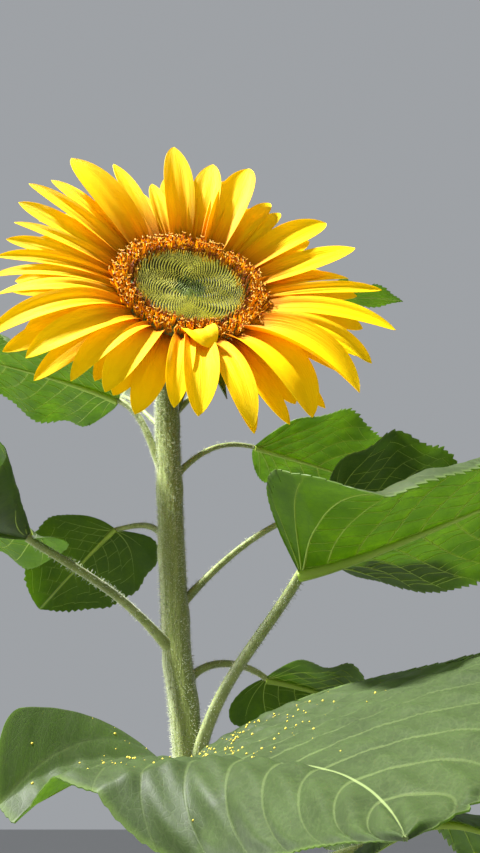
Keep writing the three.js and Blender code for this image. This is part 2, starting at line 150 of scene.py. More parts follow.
# A cone that stands on the origin.
def coneOf(sides, bottom, top, depth=1.0):
    clearSelection()
    bpy.ops.mesh.primitive_cone_add(vertices=sides, radius1=bottom, radius2=top, depth=depth, location=(0, 0, depth / 2))
    bpy.ops.object.transform_apply(location=True, rotation=True, scale=True)
    return bpy.context.object


# Opens edit mode with a cone's upper face selected.
def editTop(piece):
    for face in piece.data.polygons:
        face.select = face.normal.z > 0.9
    bpy.ops.object.mode_set(mode="EDIT")
    bpy.ops.mesh.select_mode(type="FACE")


# The corners and faces of a small modelled shape, which is then removed.
def takeShape(piece):
    mesh = piece.data
    corners = np.array([v.co for v in mesh.vertices])
    faces = [list(face.vertices) for face in mesh.polygons]
    bpy.data.objects.remove(piece)
    return corners, faces


# One mesh of many copies of a shape: its places, and the three scaled axes of each copy.
def copiesOf(name, shape, places, axes, smooth=True):
    corners, faces = shape
    count, size = len(places), len(corners)
    spots = places[:, None, :] + np.einsum("vk,nkj->nvj", corners, axes)
    loops = np.concatenate([np.array(face) for face in faces])
    starts = np.cumsum([0] + [len(face) for face in faces[:-1]])
    mesh = bpy.data.meshes.new(name)
    mesh.vertices.add(count * size)
    mesh.vertices.foreach_set("co", (spots * mm).reshape(-1))
    mesh.loops.add(count * len(loops))
    mesh.loops.foreach_set("vertex_index", (loops[None] + size * np.arange(count)[:, None]).reshape(-1))
    mesh.polygons.add(count * len(faces))
    mesh.polygons.foreach_set("loop_start", (starts[None] + len(loops) * np.arange(count)[:, None]).reshape(-1))
    mesh.update(calc_edges=True)
    mesh.validate()
    mesh.polygons.foreach_set("use_smooth", np.full(len(mesh.polygons), smooth))
    piece = bpy.data.objects.new(name, mesh)
    bpy.context.scene.collection.objects.link(piece)
    return piece


def finishPiece(piece, material, slot, *nodes):
    piece.data.materials.clear()
    piece.data.materials.append(material)
    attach(piece, "root")
    if nodes:
        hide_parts(*nodes)


# Links a socket, or sets its value, where a colour gets an alpha of 1.
def feed(tree, socket, value):
    if isinstance(value, bpy.types.NodeSocket):
        tree.links.new(value, socket)
    else:
        socket.default_value = (*value, 1) if socket.type == "RGBA" else value


def addNode(tree, kind, inputs=None, **settings):
    made = tree.nodes.new("ShaderNode" + kind)
    for key, value in settings.items():
        setattr(made, key, value)
    for key, value in (inputs or {}).items():
        feed(tree, made.inputs[key], value)
    return made


def startMaterial(name):
    material = bpy.data.materials.new(name)
    material.use_nodes = True
    tree = material.node_tree
    tree.nodes.clear()
    return material, tree


def mathNode(tree, operation, first, second=0.0, third=0.0, clamp=False):
    node = addNode(tree, "Math", {0: first, 1: second, 2: third}, operation=operation)
    node.use_clamp = clamp
    return node.outputs[0]


def times(tree, first, second):
    return mathNode(tree, "MULTIPLY", first, second)


def scaled(tree, value, factor, plus, clamp=False):
    return mathNode(tree, "MULTIPLY_ADD", value, factor, plus, clamp)


def mixColour(tree, share, first, second):
    return addNode(tree, "Mix", {0: share, 6: first, 7: second}, data_type="RGBA").outputs[2]


def ramp(tree, share, stops):
    node, stops = addNode(tree, "ValToRGB", {0: share}), list(stops)
    elements = node.color_ramp.elements
    while len(elements) < len(stops):
        elements.new(0.5)
    for element, (place, colour) in zip(elements, stops):
        element.position = place
        element.color = (*colour, 1)
    return node.outputs[0]


def mapRange(tree, value, low, high, outLow=0.0, outHigh=1.0):
    inputs = {"Value": value, "From Min": low, "From Max": high, "To Min": outLow, "To Max": outHigh}
    return addNode(tree, "MapRange", inputs, interpolation_type="SMOOTHSTEP").outputs[0]


def objectCoordinates(tree, scale=(1, 1, 1)):
    place = addNode(tree, "TexCoord").outputs["Object"]
    return addNode(tree, "Mapping", {"Vector": place, "Scale": scale}).outputs[0]


def uvCoordinates(tree, scale=(1, 1, 1)):
    place = addNode(tree, "UVMap", uv_map="UVMap").outputs[0]
    return addNode(tree, "Mapping", {"Vector": place, "Scale": scale}).outputs[0]


def noise(tree, vector, scale, detail, roughness=0.55):
    inputs = {"Vector": vector, "Scale": scale, "Detail": detail, "Roughness": roughness}
    return addNode(tree, "TexNoise", inputs).outputs[0]


# Lines along the borders of a cell pattern.
def cellNet(tree, vector, scale, width):
    cells = addNode(tree, "TexVoronoi", {"Vector": vector, "Scale": scale}, feature="DISTANCE_TO_EDGE")
    return mapRange(tree, cells.outputs["Distance"], 0.0, width, 1.0, 0.0)


def attribute(tree, name):
    return addNode(tree, "Attribute", attribute_name=name).outputs["Fac"]


def bump(tree, height, distance, strength):
    return addNode(tree, "Bump", {"Height": height, "Distance": distance, "Strength": strength}).outputs[0]


# Closes a material: a Principled surface, and for thin parts a share of light that comes through.
def endMaterial(tree, colour, roughness, specular, normal=None, glow=None, glowShare=0.0, more=None):
    relief = {"Normal": normal} if normal else {}
    inputs = {"Base Color": colour, "Roughness": roughness, "Specular IOR Level": specular, **(more or {}), **relief}
    last = addNode(tree, "BsdfPrincipled", inputs).outputs[0]
    if glow is not None:
        through = addNode(tree, "BsdfTranslucent", {"Color": glow, **relief}).outputs[0]
        last = addNode(tree, "MixShader", {0: glowShare, 1: last, 2: through}).outputs[0]
    addNode(tree, "OutputMaterial", {"Surface": last})


leafFinish = {
    "upper": (0.026, 0.039, 0.013),
    "upperPale": (0.058, 0.086, 0.028),
    "under": (0.020, 0.054, 0.002),
    "underPale": (0.052, 0.108, 0.004),
    "vein": (0.22, 0.29, 0.10),
    "veinUnder": (0.13, 0.21, 0.020),
    "veinWidth": 1.0,
    "veinFade": (5.0, 17.0),  # faint where they crowd, in millimetres between them
    "rib": (0.31, 0.39, 0.15),
    "ribWidth": 1.15,
    "ribShare": 0.8,
    "margin": (0.13, 0.20, 0.04),
    "marginShare": 0.55,
    "netScale": 30.0,
    "netShare": 0.09,
    "fineNetScale": 93.0,
    "fineNetShare": 0.05,
    "glow": (0.42, 0.60, 0.002),
    "glowDark": (0.13, 0.24, 0.001),
    "glowVein": (0.34, 0.42, 0.05),
    "glowShare": 0.46,
    "relief": (0.00014, 0.55),
    "specular": 0.24,
    "sheen": {"Sheen Weight": 0.03, "Sheen Roughness": 0.5},
}


def makeLeafMaterial():
    material, tree = startMaterial("leafBlade")
    f = leafFinish
    flat = uvCoordinates(tree)
    under = attribute(tree, "under")
    share = attribute(tree, "edge")
    step = attribute(tree, "veinStep")
    # main side veins lie where the vein place is a whole number
    apart = times(tree, mathNode(tree, "PINGPONG", attribute(tree, "veinPlace"), 0.5), step)
    width = scaled(tree, share, -0.6 * f["veinWidth"], f["veinWidth"])
    veins = mapRange(tree, mathNode(tree, "DIVIDE", apart, width), 0.5, 1.6, 1.0, 0.0)
    veins = times(tree, veins, mapRange(tree, step, *f["veinFade"]))
    # the midrib, wide at the base, in hundreds of millimetres
    parts = addNode(tree, "SeparateXYZ", {0: flat})
    ribWidth = scaled(tree, parts.outputs[0], -0.0035, f["ribWidth"] / 100)
    aside = mathNode(tree, "DIVIDE", mathNode(tree, "ABSOLUTE", parts.outputs[1]), ribWidth)
    rib = mapRange(tree, aside, 0.6, 1.5, 1.0, 0.0)
    # two nets of small veins, a little bent
    wobble = noise(tree, flat, 9.0, 2.0)
    push = addNode(tree, "VectorMath", {0: wobble, 1: (0.06, 0.06, 0.0)}, operation="MULTIPLY").outputs[0]
    bent = addNode(tree, "VectorMath", {0: flat, 1: push}, operation="ADD").outputs[0]
    net = cellNet(tree, bent, f["netScale"], 0.11)
    fineNet = cellNet(tree, bent, f["fineNetScale"], 0.16)
    tone = noise(tree, flat, 3.2, 4.0, 0.6)
    blotch = noise(tree, flat, 14.0, 3.0, 0.6)
    tones = scaled(tree, blotch, 0.35, scaled(tree, tone, 1.1, -0.25), clamp=True)
    top = mixColour(tree, tones, f["upper"], f["upperPale"])
    below = mixColour(tree, tones, f["under"], f["underPale"])
    colour = mixColour(tree, under, top, below)
    strength = times(tree, scaled(tree, under, 0.44, 0.24), mathNode(tree, "SUBTRACT", 1.4, share))
    veinColour = mixColour(tree, under, f["vein"], f["veinUnder"])
    for lines, much in ((fineNet, f["fineNetShare"]), (net, f["netShare"]), (veins, strength)):
        colour = mixColour(tree, times(tree, lines, much), colour, veinColour)
    colour = mixColour(tree, times(tree, rib, f["ribShare"]), colour, f["rib"])
    colour = mixColour(tree, mapRange(tree, share, 0.955, 1.0, 0.0, f["marginShare"]), colour, f["margin"])
    glow = mixColour(tree, tones, f["glowDark"], f["glow"])
    glow = mixColour(tree, times(tree, net, 0.4), glow, f["glowDark"])
    glow = mixColour(tree, times(tree, veins, 0.5), glow, f["glowVein"])
    # veins stand up below and lie in furrows above
    lines = mathNode(tree, "ADD", scaled(tree, rib, 1.5, veins), scaled(tree, net, 0.28, times(tree, fineNet, 0.10)))
    sign = scaled(tree, under, 2.0, -1.0)
    height = scaled(tree, lines, sign, times(tree, noise(tree, flat, 60.0, 3.0), 0.3))
    rough = scaled(tree, under, 0.06, scaled(tree, blotch, 0.14, 0.46))
    endMaterial(tree, colour, rough, f["specular"], bump(tree, height, *f["relief"]), glow, f["glowShare"], f["sheen"])
    return material


veinFinish = {"dark": (0.24, 0.34, 0.040), "pale": (0.34, 0.45, 0.070), "glow": (0.55, 0.75, 0.02), "glowShare": 0.38}


def makeVeinMaterial():
    material, tree = startMaterial("leafVein")
    f = veinFinish
    tones = noise(tree, objectCoordinates(tree), 240.0, 3.0)
    colour = mixColour(tree, tones, f["dark"], f["pale"])
    normal = bump(tree, noise(tree, objectCoordinates(tree), 900.0, 2.0), 0.0003, 0.5)
    endMaterial(tree, colour, 0.5, 0.3, normal, f["glow"], f["glowShare"])
    return material


stemFinish = {
    "dark": (0.062, 0.083, 0.013),
    "main": (0.155, 0.195, 0.036),
    "pale": (0.28, 0.325, 0.105),
    "foot": (0.20, 0.15, 0.07),
    "footHeight": (0.02, 0.30),
    "relief": (0.0011, 0.7),
    "soft": {"Sheen Weight": 0.25, "Sheen Roughness": 0.4, "Subsurface Weight": 0.06, "Subsurface Scale": 0.004},
}


def makeStemMaterial(name, long):
    material, tree = startMaterial(name)
    f = stemFinish
    drawn, scale = ((1, 1, 0.07), 520.0) if long else ((1, 1, 1), 160.0)
    streaks = noise(tree, objectCoordinates(tree, drawn), scale, 4.0, 0.6)
    broad = noise(tree, objectCoordinates(tree, (1, 1, 0.35)), 26.0, 3.0)
    tones = scaled(tree, streaks, 0.75, scaled(tree, broad, 0.7, -0.22), clamp=True)
    colour = ramp(tree, tones, [(0.1, f["dark"]), (0.5, f["main"]), (0.9, f["pale"])])
    specks = noise(tree, objectCoordinates(tree, (1, 1, 0.5)), 1100.0, 2.0, 0.7)
    colour = mixColour(tree, mapRange(tree, specks, 0.60, 0.74, 0.0, 0.55), colour, f["pale"])
    if long:
        height = addNode(tree, "SeparateXYZ", {0: objectCoordinates(tree)}).outputs[2]
        colour = mixColour(tree, mapRange(tree, height, *f["footHeight"], 0.75, 0.0), colour, f["foot"])
    relief = scaled(tree, streaks, 1.0, times(tree, specks, 0.5))
    endMaterial(tree, colour, 0.52, 0.4, bump(tree, relief, *f["relief"]), more=f["soft"])
    return material


# A plain base colour with a little unevenness, for small things that are joined by the hundred.
def makeSmallMaterial(name, colour, roughness=0.55, glow=None, spread=0.25):
    material, tree = startMaterial(name)
    tones = noise(tree, objectCoordinates(tree), 300.0, 2.0)
    low = tuple(channel * (1 - spread) for channel in colour)
    high = tuple(min(channel * (1 + spread), 1.0) for channel in colour)
    endMaterial(tree, mixColour(tree, tones, low, high), roughness, 0.35, None, glow, 0.3)
    return material


rayFinish = {
    # base and orange, at the foot of each ray, are painted shade: the rays and florets shade each other's feet there
    "base": (0.30, 0.085, 0.001),
    "orange": (0.82, 0.36, 0.0),
    "main": (0.97, 0.65, 0.0),
    "tip": (0.98, 0.75, 0.0),
    "glow": (1.0, 0.73, 0.0),
    "glowBase": (0.80, 0.32, 0.0),
    "glowShare": 0.38,
    "stops": (0.0, 0.17, 0.44, 0.85),
    "relief": (0.0007, 0.8),
    "roughness": 0.6,
    "specular": 0.08,
}


def makeRayMaterial():
    material, tree = startMaterial("rayFloret")
    f = rayFinish
    along = addNode(tree, "SeparateXYZ", {0: uvCoordinates(tree)}).outputs[1]
    streaks = noise(tree, uvCoordinates(tree, (26, 1.6, 1)), 1.0, 4.0, 0.6)
    fine = noise(tree, uvCoordinates(tree, (90, 3, 1)), 1.0, 2.0, 0.6)
    broad = noise(tree, objectCoordinates(tree), 30.0, 3.0)
    length = mathNode(tree, "ADD", along, scaled(tree, streaks, 0.22, -0.11))
    # painted shade: the colour runs from brown and orange at the foot, where the rays shade each other, to yellow at
    # the tip
    colour = ramp(tree, length, zip(f["stops"], (f["base"], f["orange"], f["main"], f["tip"])))
    colour = mixColour(tree, mapRange(tree, streaks, 0.52, 0.76, 0.0, 0.28), colour, f["orange"])
    colour = mixColour(tree, mapRange(tree, broad, 0.45, 0.75, 0.0, 0.35), colour, f["tip"])
    glow = ramp(tree, length, [(0.0, f["glowBase"]), (0.35, f["glow"])])
    relief = scaled(tree, streaks, 1.0, times(tree, fine, 0.35))
    endMaterial(tree, colour, f["roughness"], f["specular"], bump(tree, relief, *f["relief"]), glow, f["glowShare"])
    return material


bractFinish = {
    "stops": [
        (0.0, (0.20, 0.28, 0.06)), (0.55, (0.11, 0.20, 0.03)), (0.86, (0.06, 0.11, 0.02)), (0.97, (0.03, 0.025, 0.012)),
    ],
    "glow": (0.24, 0.40, 0.02),
    "glowShare": 0.22,
    "relief": (0.0007, 0.8),
}


def makeBractMaterial():
    material, tree = startMaterial("bract")
    f = bractFinish
    along = addNode(tree, "SeparateXYZ", {0: uvCoordinates(tree)}).outputs[1]
    streaks = noise(tree, uvCoordinates(tree, (12, 1.2, 1)), 1.0, 4.0, 0.6)
    length = mathNode(tree, "ADD", along, scaled(tree, streaks, 0.3, -0.15))
    normal = bump(tree, streaks, *f["relief"])
    endMaterial(tree, ramp(tree, length, f["stops"]), 0.55, 0.35, normal, f["glow"], f["glowShare"])
    return material


floorTones = ((0.44, 0.44, 0.436), (0.48, 0.48, 0.476))


def makeFloorMaterial():
    material, tree = startMaterial("paleFloor")
    tones = noise(tree, objectCoordinates(tree), 3.0, 4.0)
    endMaterial(tree, mixColour(tree, tones, *floorTones), 0.85, 0.5)
    return material


view = {"place": (0.0169, -0.56, 1.150), "pitchUp": 27.0, "lens": 32.46}
light = {
    "keyPlace": (-1.35, -0.75, 4.25),
    "keySize": 0.22,
    "keyPower": 640.0,
    "fillPlace": (1.2, -3.0, 0.9),
    "fillSize": 2.6,
    "fillPower": 9.0,
    "sidePlace": (-2.3, 0.55, 1.25),
    "sideSize": 0.9,
    "sidePower": 60.0,
    "target": (0, -0.05, 1.35),
    "room": 0.40,
    "sky": (0.86, 0.90, 0.95),
    "exposure": 0.0,
}


def aimAt(lamp, target):
    lamp.rotation_euler = (Vector(target) - lamp.location).to_track_quat("-Z", "Y").to_euler()


def setStage():
    scene = bpy.context.scene
    clearSelection()
    bpy.ops.object.camera_add(location=view["place"], rotation=(radians(90 + view["pitchUp"]), 0, 0))
    camera = bpy.context.object
    camera.data.lens = view["lens"]
    camera.data.sensor_width = 36
    camera.data.clip_start = 0.01
    scene.camera = camera
    for name in ("key", "fill", "side"):
        bpy.ops.object.light_add(type="AREA", location=light[name + "Place"])
        lamp = bpy.context.object
        lamp.name = name
        lamp.data.size = light[name + "Size"]
        lamp.data.energy = light[name + "Power"]
        aimAt(lamp, light["target"])
    world = bpy.data.worlds.new("room")
    scene.world = world
    world.use_nodes = True
    background = world.node_tree.nodes["Background"]
    for socket, value in zip(background.inputs, (light["sky"], light["room"])):
        feed(world.node_tree, socket, value)
    scene.view_settings.view_transform = "Standard"
    scene.view_settings.exposure = light["exposure"]
    clearSelection()
    bpy.ops.mesh.primitive_plane_add(size=200)
    floor = rename(bpy.context.object, "floor")
    floor.data.materials.append(makeFloorMaterial())
    print("stage set")


stemShape = {
    "line": [
        (0, 0, 0), (-4, 4, 600), (-11, 2, 1000), (-18, 0, 1186), (-28, 0, 1256), (-34, 0, 1322),
        (-39, -1, 1390), (-42.5, -4, 1439), (-42.5, -9, 1462), (-40, -20, 1484), (-36, -32, 1494),
    ],
    "footRadius": 15,
    "neckRadius": 9.3,
    "taper": 1.2,
    "flare": 5,
    "flareHeight": 35,
    "rings": 380,
    "resolution": 16,
    "ridges": 11,
    "fineRidges": 19,
    "ridgeDepth": 0.22,
    "scarDepth": 1.6,
    "scarHeight": 9,
    "scarRise": 4,
}
headShape = {
    "centre": np.array([-21, -86.5, 1510.5]),
    "turn": 13.75,
    "lift": 16.1,
    "discRadius": 42.7,
    "discRim": 1.2,
    "discDish": 3,
    "cupTop": -4,
    "cupRadius": 63.5,
    "cupDepth": 40,
    "neckRadius": 11,
}
headOut = direction(headShape["turn"] - 90, headShape["lift"])
headRight = unit(np.cross(upward, headOut))
headUp = np.cross(headOut, headRight)


def headPoint(radius, angle, height):
    radius, angle, height = np.broadcast_arrays(np.asarray(radius, float), np.radians(angle), np.asarray(height, float))
    return (
        headShape["centre"]
        + headRight * (radius * np.sin(angle))[..., None]
        + headUp * (radius * np.cos(angle))[..., None]
        + headOut * height[..., None]
    )


# A centripetal Catmull-Rom line through the stem's knots, as shares of its length, points and directions.
def followStem():
    neck = headPoint(0, 0, headShape["cupTop"] - headShape["cupDepth"])
    knots = np.array([*stemShape["line"], neck], float)
    knots = np.array([2 * knots[0] - knots[1], *knots, 2 * knots[-1] - knots[-2]])
    points = []
    for a, b, c, d in zip(knots, knots[1:], knots[2:], knots[3:]):
        first, middle, last = [np.linalg.norm(q - p) ** 0.5 for p, q in ((a, b), (b, c), (c, d))]
        slopeIn = ((b - a) / first - (c - a) / (first + middle) + (c - b) / middle) * middle
        slopeOut = ((c - b) / middle - (d - b) / (middle + last) + (d - c) / last) * middle
        for u in np.linspace(0, 1, 80, endpoint=False):
            points.append(
                b + slopeIn * u
                + (3 * (c - b) - 2 * slopeIn - slopeOut) * u**2
                + (2 * (b - c) + slopeIn + slopeOut) * u**3
            )
    points = np.array([*points, neck])
    return sharesOf(points)[0], points


stemShares, stemPoints = followStem()


def stemRadius(height, share):
    s = stemShape
    flare = s["flare"] * np.exp(-((height / s["flareHeight"]) ** 2))
    return s["neckRadius"] + (s["footRadius"] - s["neckRadius"]) * (1 - share) ** s["taper"] + flare


def stemPoint(height):
    return np.array([np.interp(height, stemPoints[:, 2], stemPoints[:, axis]) for axis in range(3)])


heart, oval = (0.55, 0.95), (0.8, 1.05)
leafShape = {
    "lobeReach": 0.35,
    "lipStart": 0.55,
    "wavePower": 1.2,
    "thickness": 0.55,
    "lobe": 0.12,
    "wave": {"turns": 3, "phase": 0, "right": 4, "left": 4},
    "veinStarts": (0.002, 0.004, 0.008, 0.10, 0.20, 0.31, 0.43, 0.56, 0.70, 0.84),
    "veinEnds": (0.06, 0.17, 0.34, 0.45, 0.56, 0.67, 0.77, 0.86, 0.93, 0.975),
    "veinBend": 1.2,
    "quilting": 1.5,
    "quiltMargin": 0.12,
    "cellLength": 13,
    "toothLength": 5.0,
    "toothHeight": 2.7,
    "toothSizes": (0.55, 1.35),
}
upperLeaves = [
    {
        "node": 1382, "stalk": (3, (190, 60), (170, 30)),
        "base": (-84, 0, 1460), "middle": (-136, 0, 1480), "tip": (-225, 0, 1505),
        "right": {"width": 68, "lobe": 0, "rise": (0, -20), "shape": oval},
        "left": {"width": 66, "lobe": 0.05, "rise": (4, 0), "lip": (-60, -60)},
    },
    {
        "node": 1428, "stalk": (1.8, (130, 40), (110, 20)),
        "base": (-93, 62, 1497), "middle": (-80, 88, 1545), "tip": (-60, 98, 1588),
        "right": {"width": 36, "rise": (10, 10)},
        "left": {"width": 36, "rise": (-10, -10)},
    },
    {
        "node": 1252, "stalk": (2.8, (215, 40), (205, 25)),
        "base": (-112, -110, 1302), "middle": (-142, -100, 1323), "tip": (-250, -88, 1338),
        "right": {"width": 70, "lobe": 0, "rise": (-15, 0)},
        "left": {"width": 78, "lobe": 0.06, "rise": (32, 18)},
    },
    {
        "node": 1332, "stalk": (2.3, (180, 60), (170, -10)),
        "base": (-84, 35, 1359), "middle": (-112, 45, 1333), "tip": (-142, 50, 1298),
        "wave": {"turns": 3, "phase": 0, "right": 1.5, "left": 1.5},
        "right": {"width": 46, "lobe": 0.28, "rise": (-58, -58), "shape": (0.45, 0.95)},
        "left": {"width": 46, "lobe": 0, "rise": (44, 44), "shape": (0.6, 0.65)},
    },
    {
        "node": 1385, "stalk": (2.2, (20, 55), (30, 0)),
        "base": (29, 45, 1438), "middle": (96, 88, 1436), "tip": (170, 125, 1426),
        "right": {"width": 60, "lobe": 0, "rise": (30, 30), "shape": oval},
        "left": {"width": 46, "lobe": 0, "rise": (-10, -30), "shape": oval},
    },
    {
        "node": 1284, "stalk": (2.4, (20, 50), (0, 10)),
        "base": (86, -10, 1362), "middle": (136, -10, 1372), "tip": (200, -10, 1366),
        "right": {"width": 52, "lobe": 0.06, "rise": (33, 33), "shape": oval},
        "left": {"width": 50, "lobe": 0, "rise": (-33, -33), "shape": oval},
    },
    {
        "node": 1160, "stalk": (3.7, (-60, 75), (-60, 35)),
        "base": (53, -110, 1280), "middle": (111, -125, 1296), "tip": (215, -130, 1337),
        "wave": {"turns": 3, "phase": 0, "right": 3, "left": 1.5},
        "right": {
            "width": 90, "lobe": 0.03, "places": (0, 0.12, 0.3, 1), "rise": (44, 20, 9, 20), "lip": (10, -12, -45, -170),
            "shape": (0.4, 0.95),
        },
        "left": {"width": 95, "lobe": 0.06, "rise": (22, -10, -50)},
    },
    {
        "node": 1226, "stalk": (2.6, (30, 75), (20, -35)),
        "base": (36, 35, 1243), "middle": (88, 48, 1231), "tip": (146, 56, 1207),
        "right": {"width": 50, "lobe": 0, "rise": (12, 12)},
        "left": {"width": 54, "lobe": 0.24, "rise": (-50, -20)},
    },
    {
        "node": 1130, "stalk": (4.4, (-90, 50), (-70, -10)),
        "base": (-18, -125, 1170), "middle": (44, -228, 1168), "tip": (58, -345, 1145),
        "wave": {"turns": 1.2, "phase": 38, "right": -2.4, "left": 3},
        "right": {
            "width": 103, "lobe": 0.01, "teeth": 0.12, "shape": (0.04, 0.92),
            "places": (0, 0.05, 0.1, 0.16, 0.24, 0.35, 0.5, 0.75, 1),
            "rise": (41, 17, 14.5, 11, 2.6, 6.7, 2, -12, -27), "curl": (-52, -50, -56, -44, -14, -41, -129, -150, -103),
        },
        "left": {"width": 112, "lobe": 0.03, "rise": (29, 28, 28, 20, 12)},
    },
    {
        "node": 1440, "stalk": (1.8, (25, 45), (20, 10)),
        "base": (58, -5, 1552), "middle": (112, 0, 1565), "tip": (164, 8, 1566),
        "right": {"width": 28, "lobe": 0, "rise": (-10, -10), "shape": oval},
        "left": {"width": 26, "lobe": 0, "rise": (10, 10), "shape": oval},
    },
]
lowerLeaves = {
    "count": 10, "top": 1070, "step": 88, "heading": 8, "goldenAngle": 137.5,
    "stalkRadius": 4.2, "pitch": 42, "reach": 112, "lift": 62,
    "length": 205, "growth": 5, "width": 92, "middleAt": (0.485, 0.02), "tipAt": (0.875, -0.5), "stalkEnd": 12,
    "rise": (16, 4), "curl": (-30, -20), "wave": 6,
}


def lowerLeaf(index):
    s = lowerLeaves
    node = s["top"] - s["step"] * index
    heading = s["heading"] + s["goldenAngle"] * index
    length = s["length"] + s["growth"] * index
    width = s["width"] + s["growth"] * 0.5 * index
    outward = direction(heading, 0)
    base = stemPoint(node) + outward * s["reach"] + upward * s["lift"]
    middle, tip = [base + outward * length * out + upward * length * up for out, up in (s["middleAt"], s["tipAt"])]
    half = {"width": width, "rise": s["rise"], "curl": s["curl"]}
    wave = {"turns": 3, "phase": 60 * index, "right": s["wave"], "left": s["wave"]}
    return {
        "node": node, "stalk": (s["stalkRadius"], (heading, s["pitch"]), (heading, s["stalkEnd"])),
        "base": base, "middle": middle, "tip": tip, "wave": wave, "right": half, "left": dict(half),
    }


allLeaves = upperLeaves + [lowerLeaf(index) for index in range(lowerLeaves["count"])]


# A leaf's midrib as an arc through its base, middle and tip.
def midribOf(leaf):
    base, middle, tip = [np.array(leaf[key], float) for key in ("base", "middle", "tip")]
    control = 2 * middle - 0.5 * base - 0.5 * tip
    u = np.linspace(0, 1, 257)[:, None]
    points = base * (1 - u) ** 2 + 2 * control * u * (1 - u) + tip * u**2
    ahead = unit(2 * (control - base) * (1 - u) + 2 * (tip - control) * u)
    shares, length = sharesOf(points)
    return {"points": points, "ahead": ahead, "shares": shares, "length": length}


def bladeOutline(half, length, t):
    opening, closing = half.get("shape", heart)
    widest = opening / (opening + closing)
    full = widest**opening * (1 - widest) ** closing
    width = half["width"] * t**opening * np.clip(1 - t, 0, 1) ** closing / full
    setback = half.get("lobe", leafShape["lobe"]) * length * np.sin(pi * np.sqrt(np.minimum(t / leafShape["lobeReach"], 1)))
    return width, setback


# Points of the blade's middle surface, x along the midrib and q across it, and their normals.
def bladeSpots(leaf, half, rib, x, q):
    t = x / rib["length"]
    held = np.clip(t, 0, 1)
    point = pointsAlong(rib["shares"], rib["points"], held)
    ahead = unit(pointsAlong(rib["shares"], rib["ahead"], held))
    side = unit(np.cross(ahead, upward))
    top = np.cross(side, ahead)
    point = point + ahead * np.minimum(x, 0)[..., None]
    isRight = half is leaf["right"]
    places = half.get("places", ())
    rise, curl, lip = [np.radians(valueAlong(half.get(key, (0, 0)), held, places)) for key in ("rise", "curl", "lip")]
    share = q / half["width"]
    start = leafShape["lipStart"]

    def angleAt(u):
        return rise + curl * u + lip * np.clip((u - start) / (1 - start), 0, 2)

    steps = 16
    angles = np.array([angleAt(share * (i + 0.5) / steps) for i in range(steps)])
    across, height = np.cos(angles).mean(0) * q, np.sin(angles).mean(0) * q
    wave = leaf.get("wave", leafShape["wave"])
    swing = 2 * pi * wave["turns"] * t + radians(wave["phase"]) + (0 if isRight else 1.7)
    height = height + wave["right" if isRight else "left"] * np.sin(swing) * share ** leafShape["wavePower"]
    outward = 1 if isRight else -1
    tilt = angleAt(share)
    normal = top * np.cos(tilt)[..., None] - side * outward * np.sin(tilt)[..., None]
    return point + side * (outward * across)[..., None] + top * height[..., None], normal


# Which side veins a place of the blade lies between, and how far apart they are there.
def veinPlaces(rib, t, share):
    starts, ends = np.array(leafShape["veinStarts"]), np.array(leafShape["veinEnds"])
    lines = starts[:, None, None] + (ends - starts)[:, None, None] * share[None] ** leafShape["veinBend"]
    lines = np.concatenate([np.zeros_like(lines[:1]), lines, np.full_like(lines[:1], 1.02)])
    index = np.clip((lines <= t[None]).sum(0) - 1, 0, len(starts))
    low = np.take_along_axis(lines, index[None], 0)[0]
    high = np.take_along_axis(lines, index[None] + 1, 0)[0]
    gap = np.maximum(high - low, 1e-4)
    return index + np.clip((t - low) / gap, 0, 1), gap * rib["length"] * 0.75


# The lift of the blade between its veins.
def quilting(rib, place, step, t, share, width):
    phase = place - np.floor(place)
    size = min(rib["length"] / 200, 1.25) * leafShape["quilting"]
    between = np.sin(pi * phase) ** 0.8 * np.clip(step / 14, 0, 1)
    margin = leafShape["quiltMargin"]
    across = np.clip(share / margin, 0, 1) * np.clip((1 - share) / margin, 0.15, 1)
    cells = 0.5 + 0.5 * np.cos(2 * pi * (share * width / leafShape["cellLength"] + 0.37 * np.floor(place)))
    return size * across * (between * (0.52 + 0.9 * cells))


def onBlade(leaf, half, rib, t, share, lift=0.0):
    width, setback = bladeOutline(half, rib["length"], t)
    place, step = veinPlaces(rib, t[None], share[None])
    height = quilting(rib, place, step, t[None], share[None], width[None])[0] + lift
    spots, normals = bladeSpots(leaf, half, rib, rib["length"] * t - setback * share, width * share)
    return spots + normals * height[..., None]


